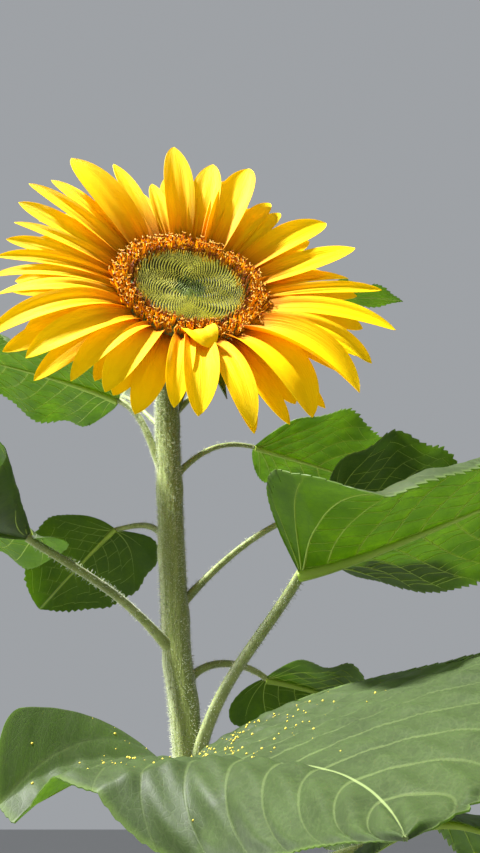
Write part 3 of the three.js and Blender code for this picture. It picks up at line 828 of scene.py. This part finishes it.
# A fine blade: rows that keep step with the teeth of its margin, and columns from margin to margin.
def bladePiece(name, leaf, columns, seed):
    random = np.random.default_rng(seed)
    rib = midribOf(leaf)
    length = rib["length"]
    fine = np.linspace(0.002, 1, 3000) ** 1.5
    run = np.zeros(len(fine))
    for key in ("right", "left"):
        width, setback = bladeOutline(leaf[key], length, fine)
        margin = np.stack([length * fine - setback, width], -1)
        run[1:] += 0.5 * np.cumsum(np.linalg.norm(np.diff(margin, axis=0), axis=1))
    teeth = int(run[-1] / leafShape["toothLength"])
    t = np.interp(np.arange(3 * teeth + 1) / (3 * teeth), run / run[-1], fine)
    t[0], t[-1] = 0.0005, 1
    rise = np.array([0.0, 0.6, 1.0])[np.arange(len(t)) % 3]
    shares = (np.arange(columns + 1) / columns) ** 0.85
    grid = {}
    for key in ("left", "right"):
        half = leaf[key]
        width, setback = bladeOutline(half, length, t)
        width = np.maximum(width, 0.35)
        sizes = np.repeat(random.uniform(*leafShape["toothSizes"], teeth + 1), 3)[: len(t)]
        size = sizes * leafShape["toothHeight"] * length / 190 * half.get("teeth", 1)
        tooth = size * rise * np.clip(t * 12, 0, 1) * np.clip((1 - t) * 9, 0, 1)
        tt, share = np.meshgrid(t, shares, indexing="ij")
        rim = share**9
        x = length * tt - setback[:, None] * share + 0.7 * tooth[:, None] * rim
        q = width[:, None] * share + tooth[:, None] * rim
        spots, normals = bladeSpots(leaf, half, rib, x, q)
        place, step = veinPlaces(rib, tt, share)
        lift = quilting(rib, place, step, tt, share, width[:, None])
        outward = 1 if key == "right" else -1
        flat = np.stack([x / 100, outward * q / 100], -1)
        grid[key] = (spots + normals * lift[..., None], flat, place, step, share)
    halves = zip(grid["left"], grid["right"])
    spots, flat, place, step, share = [np.concatenate([left[:, :0:-1], right], axis=1) for left, right in halves]
    piece = sheetOf(name, spots)
    setUv(piece, flat.reshape(-1, 2))
    setAttribute(piece, "veinPlace", place)
    setAttribute(piece, "veinStep", step)
    setAttribute(piece, "edge", share)
    count = len(piece.data.vertices)
    applyModifier(piece, "SOLIDIFY", thickness=leafShape["thickness"] * mm, offset=0)
    setAttribute(piece, "under", np.arange(len(piece.data.vertices)) >= count)
    smoothOver(piece, 60)
    return piece


veinShape = {
    "sunk": 0.75,  # in radii, deep enough to stay below the upper face
    "strong": (0.55, 0.75, 0.95, 0.56, 0.52, 0.48, 0.44, 0.40, 0.36, 0.32),
    "thinning": 0.82,
    "ladderFrom": 2,  # the first two gaps are too narrow at the base for it
    "ladderSpacing": 9,
    "ladderGap": 5,
    "ladderSunk": 0.42,
    "ladderPoints": 7,
}


# The lines of a leaf's veins with their radii: midrib, side veins and, where asked, the ladder between them.
def veinLines(leaf, ladder, seed):
    random = np.random.default_rng(seed)
    rib = midribOf(leaf)
    s = veinShape
    size = rib["length"] / 200
    lines = []
    t = np.linspace(0, 0.985, 60)
    radii = leaf["stalk"][0] * 0.85 * (1 - t) ** 1.25 + 0.28
    centre = onBlade(leaf, leaf["right"], rib, t, np.zeros_like(t))
    normal = bladeSpots(leaf, leaf["right"], rib, rib["length"] * t, np.zeros_like(t))[1]
    lines.append((centre - normal * (radii * s["sunk"])[:, None], radii))
    starts, ends = leafShape["veinStarts"], leafShape["veinEnds"]

    def place(index, share):
        return starts[index] + (ends[index] - starts[index]) * share ** leafShape["veinBend"]

    for key in ("left", "right"):
        half = leaf[key]
        for index in range(len(starts)):
            share = np.linspace(0.0, 0.95, 26)
            radii = s["strong"][index] * size * (1 - s["thinning"] * share)
            points = onBlade(leaf, half, rib, place(index, share), share, -radii * s["sunk"])
            lines.append((points, radii))
        if not ladder:
            continue
        for index in range(s["ladderFrom"], len(starts) - 1):
            halfway = np.array(0.5 * (place(index, 0.5) + place(index + 1, 0.5)))
            count = max(int(bladeOutline(half, rib["length"], halfway)[0] / s["ladderSpacing"]), 2)
            for share in (np.arange(count) + random.uniform(0.6, 1.0, count)) / (count + 0.6):
                gap = (place(index + 1, share) - place(index, share)) * rib["length"]
                if share > 0.92 or gap < s["ladderGap"]:
                    continue
                u = np.linspace(0, 1, s["ladderPoints"])
                shares = share - 0.05 * np.sin(pi * u * 0.5) + random.uniform(-0.02, 0.02)
                shares = np.clip(shares, 0.02, 0.95)
                spot = place(index, shares) * (1 - u) + place(index + 1, shares) * u
                radii = np.full(len(u), 0.2 * size + 0.05)
                lines.append((onBlade(leaf, half, rib, spot, shares, -s["ladderSunk"]), radii))
    return lines


stalkShape = {"footWidth": 1.2, "endWidth": 0.85, "flare": 0.5, "flareReach": 0.16, "bends": (0.4, 0.35), "enters": 1.5}


# A leaf's stalk from inside the stem to the blade.
def stalkLine(leaf, count=44):
    s = stalkShape
    radius, leaves, reaches = leaf["stalk"]
    start, end = stemPoint(leaf["node"]), np.array(leaf["base"], float)
    span = np.linalg.norm(end - start)
    leaving, reaching = direction(*leaves), direction(*reaches)
    a, b = start, start + leaving * span * s["bends"][0]
    c, d = end - reaching * span * s["bends"][1], end + reaching * s["enters"]
    u = np.linspace(0, 1, count)[:, None]
    points = a * (1 - u) ** 3 + 3 * b * u * (1 - u) ** 2 + 3 * c * u**2 * (1 - u) + d * u**3
    share = sharesOf(points)[0]
    flare = s["flare"] * np.exp(-((share / s["flareReach"]) ** 2))
    return points, radius * (s["footWidth"] + (s["endWidth"] - s["footWidth"]) * share + flare)


def makeStem(material):
    s = stemShape
    share = np.linspace(0, 1, s["rings"])
    points = pointsAlong(stemShares, stemPoints, share)
    radii = stemRadius(points[:, 2], share)
    piece = tubesOf("stemSkin", [(points, radii)], s["resolution"])
    mesh = piece.data
    co = np.empty(len(mesh.vertices) * 3)
    mesh.vertices.foreach_get("co", co)
    co = co.reshape(-1, 3) / mm
    sides = len(co) // s["rings"]
    # the mesh lists the caps of neck and foot before its rings, which this doesn't allow for
    rings = co[: sides * s["rings"]].reshape(s["rings"], sides, 3)
    out = rings - points[:, None]
    angle = np.arctan2(out[..., 1], out[..., 0])
    height = points[:, 2][:, None]
    wander = 0.5 * np.sin(height / 130) + 0.3 * np.sin(height / 47 + 1.2)
    lift = s["ridgeDepth"] * (np.cos(s["ridges"] * angle + wander) + 0.5 * np.cos(s["fineRidges"] * angle - 1.7 * wander))
    for leaf in allLeaves:
        heading = radians(leaf["stalk"][1][0])
        near = np.exp(-(((height - leaf["node"] - s["scarRise"]) / s["scarHeight"]) ** 2))
        lift = lift + s["scarDepth"] * near * np.clip(np.cos(angle - heading), 0, 1) ** 2
    lift[0] = np.minimum(lift[0], 0)
    rings = rings + unit(out) * lift[..., None]
    rings[0, :, 2] = 0  # so this lays the neck's cap on the ground
    co[: sides * s["rings"]] = rings.reshape(-1, 3)
    mesh.vertices.foreach_set("co", (co * mm).reshape(-1))
    mesh.update()
    smoothOver(piece, 60)
    finishPiece(piece, material, "stem", "stem")
    print("stem made,", len(mesh.polygons), "faces")


def makeStalks(material):
    lines = [stalkLine(leaf) for leaf in allLeaves]
    piece = tubesOf("leafStalks", lines, 5)
    finishPiece(piece, material, "stalk", *["leaf_%02d_stalk" % (i + 1) for i in range(len(allLeaves))])
    print("stalks made,", len(piece.data.polygons), "faces")


hairShape = {
    "stemCount": 34000,
    "crowding": 1.9,
    "stalkDensity": 0.16,
    "length": (1.2, 3.2),
    "width": 0.17,
    "lean": 0.28,
    "sunk": 0.15,
    "seed": 11,
}


# Places at shares of a line, and directions that leave it all round.
def roundLine(run, points, share, step, tilt, random):
    ahead = unit(pointsAlong(run, points, share + step) - pointsAlong(run, points, share - step))
    side = unit(np.cross(ahead, tilt))
    angle = random.uniform(0, 2 * pi, len(share))[:, None]
    return pointsAlong(run, points, share), side * np.cos(angle) + np.cross(ahead, side) * np.sin(angle)


def hairsOn(name, shape, spots, outward, random):
    s = hairShape
    length = random.uniform(*s["length"], len(spots))
    lean = unit(outward + random.normal(0, s["lean"], outward.shape))
    side = unit(np.cross(lean, random.normal(0, 1, lean.shape)))
    axes = np.stack([side * s["width"], np.cross(lean, side) * s["width"], lean * length[:, None]], 1)
    return copiesOf(name, shape, spots - outward * s["sunk"], axes)


def makeHairs(material):
    s = hairShape
    random = np.random.default_rng(s["seed"])
    shape = takeShape(coneOf(3, 1, 0))
    share = 1 - random.uniform(0, 1, s["stemCount"]) ** s["crowding"] * 0.99  # closer together near the head
    centre, outward = roundLine(stemShares, stemPoints, share, 0.004, (0, 1, 0.1), random)
    radii = stemRadius(centre[:, 2], share)[:, None]
    stemHairs = hairsOn("stemHairs", shape, centre + outward * radii, outward, random)
    finishPiece(stemHairs, material, "stem")
    spots, outs = [], []
    for leaf in allLeaves:
        points, radii = stalkLine(leaf, 120)
        run, length = sharesOf(points)
        share = random.uniform(0.05, 0.98, int(length * 2 * pi * radii.mean() * s["stalkDensity"]))
        centre, outward = roundLine(run, points, share, 0.01, (0.1, 1, 0.2), random)
        spots.append(centre + outward * np.interp(share, run, radii)[:, None])
        outs.append(outward)
    stalkHairs = hairsOn("stalkHairs", shape, np.concatenate(spots), np.concatenate(outs), random)
    finishPiece(stalkHairs, material, "stalk")
    print("hairs made,", s["stemCount"] + sum(len(group) for group in spots))


bladeDetail = {"columns": 16, "frontLeaf": 9, "frontColumns": 34, "lowerColumns": 10, "seeds": (100, 200, 300, 400)}


def makeBlades(material, veinMaterial):
    d = bladeDetail
    upperSeed, lowerSeed, upperVeinSeed, lowerVeinSeed = d["seeds"]
    for number, leaf in enumerate(upperLeaves, 1):
        columns = d["frontColumns"] if number == d["frontLeaf"] else d["columns"]
        piece = bladePiece("blade_%02d" % number, leaf, columns, upperSeed + number)
        finishPiece(piece, material, "leaf", "leaf_%02d_blade" % number)
    lower = allLeaves[len(upperLeaves):]
    half = len(lower) // 2
    for group, name in ((range(half), "bladesLowerA"), (range(half, len(lower)), "bladesLowerB")):
        piece = joinPieces([bladePiece("lowerBlade", lower[i], d["lowerColumns"], lowerSeed + i) for i in group], name)
        finishPiece(piece, material, "leaf", *["leaf_%02d_blade" % (len(upperLeaves) + i + 1) for i in group])
    print("blades made")
    groups = (("veinsUpper", upperLeaves, True, upperVeinSeed), ("veinsLower", lower, False, lowerVeinSeed))
    for name, leaves, ladder, seed in groups:
        lines = [line for index, leaf in enumerate(leaves) for line in veinLines(leaf, ladder, seed + index)]
        finishPiece(tubesOf(name, lines, 1), veinMaterial, "leaf")
        print(name, "made,", len(lines), "lines")


rayShape = {
    # angle clockwise from the top, length and width
    "rays": [
        (354, 99, 24), (0, 72, 15), (6, 86, 24), (13, 82, 14), (20, 95, 28), (31, 78, 16), (38, 70, 16), (50, 92, 26),
        (68, 90, 25), (86, 92, 13), (101, 100, 22), (115, 88, 18), (130, 93, 34), (145, 87, 36), (166, 86, 20), (178, 76, 24),
        (186, 66, 18), (206, 74, 22), (215, 80, 20), (224, 92, 22), (236, 102, 20), (249, 82, 16), (260, 84, 14), (267, 80, 14),
        (274, 76, 16), (282, 76, 14), (292, 84, 18), (300, 90, 16), (309, 86, 14), (319, 92, 30), (332, 86, 18), (344, 62, 14),
    ],
    # one short ray stands up at the lower rim and folds over the florets
    "folded": {
        "angle": 179, "start": 59, "length": 33, "width": 24, "lift": 104, "bend": -150,
        "swing": -48, "twist": -14, "cup": 0.3, "ridge": 0.9,
    },
    "reach": 61.9,
    "lift": 16,
    "topLift": 8,
    "bend": -16,
    "thickness": 0.4,
    "foot": 0.62,
    "lowArch": 24,
    "topArch": 5,
    "widening": 1.14,
    "archSpread": (-5, 5),
    "bendSpread": (-7, 7),
    "swing": (-6, 6),
    "twist": (-22, 22),
    "cup": (0.25, 0.65),
    "ridge": (0.8, 1.5),
    "secondRow": 36,
    "secondLength": (0.72, 0.93),
    "secondDrop": (4, 9),
    "secondWidth": (17, 25),
    "secondBend": (-12, 6),
    "secondSwing": (-8, 8),
    "secondTwist": (-25, 25),
    "seed": 5,
}


# Directions that leave the head outwards, raised by pitch and swung by turn.
def directionsFrom(outward, side, pitch, turn):
    level = np.cos(pitch)
    swung = outward * (level * np.cos(turn))[:, None] + side * (level * np.sin(turn))[:, None]
    return swung + headOut * np.sin(pitch)[:, None]


def outwardAt(angle):
    outward = headPoint(1, angle, 0) - headShape["centre"]
    return outward, np.cross(outward, headOut)


# A shell from a line, its directions across and up, and widths and heights over the section.
def shellAlong(name, centre, across, top, wide, height, s, t, angle, thickness):
    points = centre[:, None] + across[:, None] * wide[..., None] + top[:, None] * height[..., None]
    flat = np.stack(np.broadcast_arrays((s[None] + 1) / 2 + angle, t[:, None]), -1)
    piece = sheetOf(name, points)
    setUv(piece, flat.reshape(-1, 2))
    applyModifier(piece, "SOLIDIFY", thickness=thickness * mm, offset=0)
    smoothOver(piece, 60)
    return piece


def rayOutline(t):
    widening = rayShape["foot"] + (1 - rayShape["foot"]) * np.sin(pi / 2 * np.minimum(t / 0.5, 1))
    closing = 1 - np.clip((t - 0.5) / 0.5, 0, 1) ** 2.4
    return np.maximum(widening * closing**0.75, 0.015)


# One ray floret as a cupped, ridged blade that starts under the ring of florets.
def rayPiece(angle, length, width, lift, bend, swing, twist, cup, ridge, height=-2.2, start=58.5, rows=30, columns=13):
    t = np.linspace(0, 1, rows)
    outward, side = outwardAt(angle)
    pitch = np.radians(lift + bend * t)
    turn = np.radians(swing * t**1.3)
    ahead = directionsFrom(outward, side, pitch, turn)
    steps = ahead * (length + (rayShape["reach"] - start)) / (rows - 1)
    centre = headPoint(start, angle, height) + np.cumsum([np.zeros(3), *(steps[1:] + steps[:-1]) / 2], axis=0)
    across = unit(side * np.cos(turn)[:, None] - outward * np.sin(turn)[:, None])
    top = np.cross(across, ahead)
    roll = np.radians(twist * t**1.2)[:, None]
    across, top = across * np.cos(roll) + top * np.sin(roll), top * np.cos(roll) - across * np.sin(roll)
    half = (width / 2) * rayOutline(t)
    s = np.linspace(-1, 1, columns)
    hollow = cup * (1 - 0.5 * t)
    # the section bends up at its sides, which draws them in
    fold = hollow[:, None] * s[None] ** 2
    ridges = ridge * np.clip(half / 6, 0, 1)[:, None] * np.cos(3 * pi * s)[None] * 0.5
    height = half[:, None] * fold + ridges * np.sin(pi * np.clip(t * 1.1 + 0.05, 0, 1))[:, None]
    wide = half[:, None] * s[None] * (1 - 0.25 * hollow[:, None] * s[None] ** 2)
    return shellAlong("ray", centre, across, top, wide, height, s, t, angle, rayShape["thickness"])


def makeRays(material):
    s = rayShape
    random = np.random.default_rng(s["seed"])
    pieces = []
    archStops = [s["topArch"], s["topArch"], s["lowArch"], s["lowArch"]]
    for angle, length, width in s["rays"]:
        upper = np.cos(np.radians(angle))
        arch = np.interp(-upper, [-1, -0.1, 0.6, 1], archStops) + random.uniform(*s["archSpread"])
        lift = s["lift"] + s["topLift"] * upper + arch
        bend = s["bend"] - 2 * arch + random.uniform(*s["bendSpread"])
        swing, twist, cup, ridge = [random.uniform(*s[key]) for key in ("swing", "twist", "cup", "ridge")]
        length, width = length * (1 + 0.0018 * arch), width * s["widening"]
        pieces.append(rayPiece(angle, length, width, lift, bend, swing, twist, cup, ridge))
    angles = np.array([ray[0] for ray in s["rays"]])
    for index in range(s["secondRow"]):
        angle = 360 * (index + random.uniform(0.2, 0.8)) / s["secondRow"]
        nearest = np.abs((angles - angle + 180) % 360 - 180).argmin()
        length = s["rays"][nearest][1] * random.uniform(*s["secondLength"])
        lift = s["lift"] + s["topLift"] * np.cos(np.radians(angle)) - random.uniform(*s["secondDrop"])
        width, bend = random.uniform(*s["secondWidth"]), s["bend"] + random.uniform(*s["secondBend"])
        swing, twist, cup = [random.uniform(*s[key]) for key in ("secondSwing", "secondTwist", "cup")]
        pieces.append(rayPiece(angle, length, width, lift, bend, swing, twist, cup, 1.0, height=-3.2))
    pieces.append(rayPiece(**s["folded"]))
    piece = joinPieces(pieces, "rayFlorets")
    finishPiece(piece, material, "rays", "ray_florets")
    print("rays made,", len(pieces))


# A surface turned round the head's axis from a profile of radius and height.
def turnedPiece(name, profile, sides=96):
    profile = np.array(profile, float)
    angles = np.linspace(0, 360, sides + 1)
    points = headPoint(profile[:, 0][:, None], angles[None], profile[:, 1][:, None])
    piece = sheetOf(name, points)
    makeActive(piece)
    bpy.ops.object.mode_set(mode="EDIT")
    bpy.ops.mesh.select_all(action="SELECT")
    bpy.ops.mesh.remove_doubles(threshold=1e-6)
    bpy.ops.mesh.normals_make_consistent(inside=False)
    bpy.ops.object.mode_set(mode="OBJECT")
    smoothOver(piece, 45)
    return piece


bractShape = {
    "rows": [
        {"count": 11, "radius": 56, "depth": -13, "pitch": -12, "length": 44, "width": 17},
        {"count": 9, "radius": 49, "depth": -20, "pitch": -28, "length": 52, "width": 15},
        {"count": 12, "radius": 59, "depth": -9, "pitch": -4, "length": 34, "width": 16},
    ],
    "sunk": 10,
    "thickness": 1.0,
    "lengths": (0.86, 1.02),
    "seed": 8,
}


def bractPiece(row, angle, random):
    b = bractShape
    t, s = np.linspace(0, 1, 22), np.linspace(-1, 1, 9)
    outward, side = outwardAt(angle)
    curl = random.uniform(-20, 25)
    pitch = np.radians(row["pitch"] * (0.4 + 1.2 * t) + curl * t**3)
    turn = np.radians(random.uniform(-14, 14) * t**2)
    ahead = directionsFrom(outward, side, pitch, turn)
    length = (row["length"] + b["sunk"]) * random.uniform(*b["lengths"])
    steps = ahead * length / (len(t) - 1)
    centre = headPoint(row["radius"] - b["sunk"], angle, row["depth"]) + np.cumsum([np.zeros(3), *steps[1:]], axis=0)
    top = unit(np.cross(side, ahead))
    half = (row["width"] / 2) * (1 - t) ** 1.3 * (1 + 1.2 * t) + 0.25
    wide = half[:, None] * s[None]
    height = half[:, None] * (0.28 * s[None] ** 2 - 0.1 * np.exp(-((s[None] / 0.2) ** 2)))
    return shellAlong("bract", centre, side[None], top, wide, height, s, t, angle, b["thickness"])


def makeCup(material):
    h = headShape
    top, radius, neck = h["cupTop"], h["cupRadius"], h["neckRadius"]
    bottom = top - h["cupDepth"]
    bowl = [(0.97, 0), (1, 1), (1, 3), (0.96, 7), (0.88, 11), (0.73, 16), (0.55, 20), (0.40, 24), (0.27, 27.5), (0.205, 32)]
    profile = [(0.01, top), *[(radius * share, top - down) for share, down in bowl]]
    profile += [(neck * 0.98, bottom + 1), (neck * 0.9, bottom), (0.01, bottom)]
    pieces = [turnedPiece("cup", profile)]
    random = np.random.default_rng(bractShape["seed"])
    for rowIndex, row in enumerate(bractShape["rows"]):
        for i in range(row["count"]):
            pieces.append(bractPiece(row, (360 * (i + 0.5 * rowIndex)) / row["count"], random))
    piece = joinPieces(pieces, "headCup")
    finishPiece(piece, material, "bracts", "head_cup")
    print("cup and bracts made,", len(pieces) - 1)


discShape = {
    "spacing": 2.25,
    "goldenAngle": 137.508,
    "eyeRadius": 12,
    "rimStart": 40.2,
    "zoneBlur": 1.6,
    "lean": (-34, 40),
    "leanBlur": 4,
    "heights": (2.6, 3.6),
    "section": (0.40, 0.62),
    "sunk": 1.6,
    "seed": 21,
}


def discHeight(radius):
    reach, rim, dish = headShape["discRadius"], headShape["discRim"], headShape["discDish"]
    heights = [rim - dish - 0.4, rim - dish, rim - dish * 0.55, rim, rim * 0.4]
    return np.interp(radius, [0, reach * 0.2, reach * 0.6, reach * 0.94, reach], heights)


# A bud: a slim closed floret with a blunt tip, leaning towards the middle.
def budTemplate():
    piece = coneOf(5, 0.55, 0.42)
    bpy.ops.object.mode_set(mode="EDIT")
    bpy.ops.mesh.select_all(action="DESELECT")  # only its upper face is inset
    bpy.ops.object.mode_set(mode="OBJECT")
    editTop(piece)
    bpy.ops.mesh.inset(thickness=0.2, depth=0.32)
    bpy.ops.object.mode_set(mode="OBJECT")
    return takeShape(piece)


def headAxes(angle, lean):
    angle, lean = np.radians(angle)[:, None], np.radians(lean)[:, None]
    outward = headRight * np.sin(angle) + headUp * np.cos(angle)
    side = np.cross(outward, headOut)
    rise = headOut * np.cos(lean) + outward * np.sin(lean)
    return np.cross(side, rise), side, rise


def makeDisc(baseMaterial, budMaterials):
    reach = headShape["discRadius"]
    low = headShape["cupTop"] + 0.3
    radii = np.linspace(reach, 0.01, 24)
    profile = [(0.01, low), (reach - 0.4, low), (reach, low + 0.6)] + [(r, discHeight(r) - 1.1) for r in radii]
    base = turnedPiece("discBase", profile)
    finishPiece(base, baseMaterial, "disc", "head_disc")
    s = discShape
    random = np.random.default_rng(s["seed"])
    count = int((reach / (s["spacing"] / 1.9)) ** 2)
    index = np.arange(count) + 0.5
    radius = reach * np.sqrt(index / count)
    angle = s["goldenAngle"] * index
    shape = budTemplate()
    size = s["spacing"] * (0.80 + 0.12 * radius / reach) * random.uniform(0.9, 1.08, count)
    lean = s["lean"][0] + s["lean"][1] * radius / reach + random.normal(0, s["leanBlur"], count)
    inner, side, rise = headAxes(angle, lean)
    low, high = s["heights"]
    height = np.where(radius > s["rimStart"], high, low) * random.uniform(0.85, 1.15, count)
    deep, wide = s["section"]
    axes = np.stack([inner * (size * deep)[:, None], side * (size * wide)[:, None], rise * height[:, None]], 1)
    places = headPoint(radius, angle, discHeight(radius) - s["sunk"])
    zone = random.normal(0, s["zoneBlur"], count) + radius
    groups = {
        "discEye": zone < s["eyeRadius"],
        "discMiddle": (zone >= s["eyeRadius"]) & (zone < s["rimStart"]),
        "discRim": zone >= s["rimStart"],
    }
    for name, chosen in groups.items():
        piece = copiesOf(name, shape, places[chosen], axes[chosen], smooth=False)
        finishPiece(piece, budMaterials[name], "disc")
    print("disc made,", count, "buds")


floretShape = {
    "count": 430,
    "inner": 43.0,
    "outer": 58.0,
    "height": (6.0, 10.0),
    "width": 1.2,
    "widths": (0.85, 1.15),
    "lean": (-6, 16),
    "leanBlur": 9,
    "foot": -2.4,
    "youngReach": 47.5,
    "youngWidth": 0.8,
    "tubeReach": 0.95,
    "antherFoot": 0.7,
    "antherLength": (0.30, 0.50),
    "antherWidth": 0.9,
    "opened": 0.8,
    "openedYoung": 0.15,
    "forkSize": (1.4, 1.4, 1.6),
    "forkRadii": (0.26, 0.25, 0.22, 0.17, 0.08),
    "seed": 33,
}


# An open floret's corolla: a five-sided tube whose mouth opens into a star, with flaps along its sides and foot.
def corollaTemplate():
    piece = coneOf(5, 0.55, 0.62, 0.7)
    editTop(piece)
    # the other edges are still selected, so they are drawn out too and make the flaps
    bpy.ops.mesh.extrude_region_move(TRANSFORM_OT_translate={"value": (0, 0, 0.25)})
    bpy.ops.transform.resize(value=(1.9, 1.9, 1))
    bpy.ops.mesh.inset(thickness=0.45, depth=-0.2)
    bpy.ops.object.mode_set(mode="OBJECT")
    return takeShape(piece)


# The pale forked tip: two curled arms from one foot.
def forkTemplate():
    arms = []
    for way in (-1, 1):
        bend = np.linspace(0, 1, 5)
        curl = np.stack([way * (0.15 + 1.0 * np.sin(bend * 2.4)), 0 * bend, 0.3 + 0.9 * bend - 0.9 * bend**3], -1)
        arms.append((curl, floretShape["forkRadii"]))
    piece = tubesOf("fork", arms, 0)
    corners, faces = takeShape(piece)
    return corners / mm, faces


def makeFlorets(materials):
    s = floretShape
    random = np.random.default_rng(s["seed"])
    count = s["count"]
    index = np.arange(count)
    radius = np.sqrt(s["inner"] ** 2 + (s["outer"] ** 2 - s["inner"] ** 2) * (index + 0.5) / count)
    angle = discShape["goldenAngle"] * index + random.normal(0, 1.0, count)
    lean = np.interp(radius, [s["inner"], s["outer"]], s["lean"]) + random.normal(0, s["leanBlur"], count)
    inner, side, rise = headAxes(angle, lean)
    swing = random.normal(0, 0.14, count)[:, None]
    rise = unit(rise + side * swing)
    inner, side = [unit(way - rise * (way * rise).sum(1)[:, None]) for way in (inner, side)]
    tall = random.uniform(*s["height"], count)
    tall = (tall * np.interp(radius, [s["inner"], s["inner"] + 4, s["outer"]], [0.75, 1, 1]))[:, None]
    places = headPoint(radius, angle, s["foot"])
    width = s["width"] * random.uniform(*s["widths"], count)[:, None]
    young = radius + random.normal(0, 0.8, count) < s["youngReach"]
    tubes = np.stack([inner * width, side * width, rise * (tall * s["tubeReach"])], 1)
    corolla = copiesOf("floretCorollas", corollaTemplate(), places[~young], tubes[~young], smooth=False)
    finishPiece(corolla, materials["corolla"], "florets", "floret_ring")
    slim = np.array([s["youngWidth"], s["youngWidth"], 1])[:, None]
    # the young florets of the inner rows get a brown material, partly their own colour and partly painted shade, the
    # shade that falls between the disc and the ring
    buds = copiesOf("floretsYoung", corollaTemplate(), places[young], tubes[young] * slim, smooth=False)
    finishPiece(buds, materials["corollaYoungAndShade"], "florets")
    feet = places + rise * (tall * s["antherFoot"])
    stand = tall * random.uniform(*s["antherLength"], count)[:, None]
    axes = np.stack([inner * s["antherWidth"], side * s["antherWidth"], rise * stand], 1)
    anthers = copiesOf("floretAnthers", takeShape(coneOf(5, 0.5, 0.62)), feet, axes, smooth=False)
    finishPiece(anthers, materials["anther"], "florets")
    opened = random.uniform(0, 1, count) < np.where(young, s["openedYoung"], s["opened"])
    tops = (feet + rise * stand)[opened]
    inner, side, rise = inner[opened], side[opened], rise[opened]
    spin = random.uniform(0, pi, opened.sum())[:, None]
    turned = [inner * np.cos(spin) + side * np.sin(spin), side * np.cos(spin) - inner * np.sin(spin), rise]
    axes = np.stack([way * size for way, size in zip(turned, s["forkSize"])], 1)
    forks = copiesOf("floretTips", forkTemplate(), tops - rise * 0.3, axes)
    finishPiece(forks, materials["floretTip"], "florets")
    print("florets made,", count)


pollenShape = {
    "leaf": 9,
    "counts": {"left": 150, "right": 70},
    "along": (0.05, 0.14),
    "alongEnds": (0.005, 0.6),
    "across": (0.02, 0.85),
    "lift": 0.4,
    "size": (0.25, 0.85),
    "sizePower": 1.3,
    "seed": 44,
}


def makePollen(material):
    s = pollenShape
    leaf = upperLeaves[s["leaf"] - 1]
    rib = midribOf(leaf)
    random = np.random.default_rng(s["seed"])
    clearSelection()
    bpy.ops.mesh.primitive_ico_sphere_add(subdivisions=1, radius=1)
    shape = takeShape(bpy.context.object)
    spots = []
    for key, count in s["counts"].items():
        t = np.clip(np.abs(random.normal(*s["along"], count)), *s["alongEnds"])
        share = random.uniform(*s["across"], count)
        spots.append(onBlade(leaf, leaf[key], rib, t, share, s["lift"]))
    spots = np.concatenate(spots)
    size = random.uniform(*s["size"], len(spots)) ** s["sizePower"]
    finishPiece(copiesOf("pollen", shape, spots, np.eye(3)[None] * size[:, None, None]), material, "leaf")
    print("pollen made,", len(spots))


# Colour, roughness and, for thin things, the light that comes through.
smallFinish = {
    "hair": ((0.52, 0.56, 0.40), 0.6, (0.65, 0.68, 0.46)),
    "discBase": ((0.020, 0.026, 0.006),),
    "budEye": ((0.21, 0.27, 0.065), 0.5),
    "budMiddle": ((0.47, 0.46, 0.095), 0.5),
    "budRim": ((0.58, 0.36, 0.02), 0.5),
    "corolla": ((0.82, 0.42, 0.010), 0.5, (1.0, 0.5, 0.005)),
    # young florets: brown, partly their own colour and partly painted shade between the disc and the ring
    "corollaYoungAndShade": ((0.34, 0.13, 0.012), 0.5),
    "anther": ((0.20, 0.050, 0.008), 0.45, None, 0.7),
    "floretTip": ((0.86, 0.54, 0.045), 0.5, (1.0, 0.6, 0.03)),
    "pollen": ((0.62, 0.48, 0.05), 0.7),
}
small = {name: makeSmallMaterial(name, *finish) for name, finish in smallFinish.items()}

setStage()
makeStem(makeStemMaterial("stemSkin", True))
makeStalks(makeStemMaterial("stalkSkin", False))
makeHairs(small["hair"])
makeBlades(makeLeafMaterial(), makeVeinMaterial())
makeRays(makeRayMaterial())
makeCup(makeBractMaterial())
makeDisc(small["discBase"], {"discEye": small["budEye"], "discMiddle": small["budMiddle"], "discRim": small["budRim"]})
makeFlorets(small)
makePollen(small["pollen"])
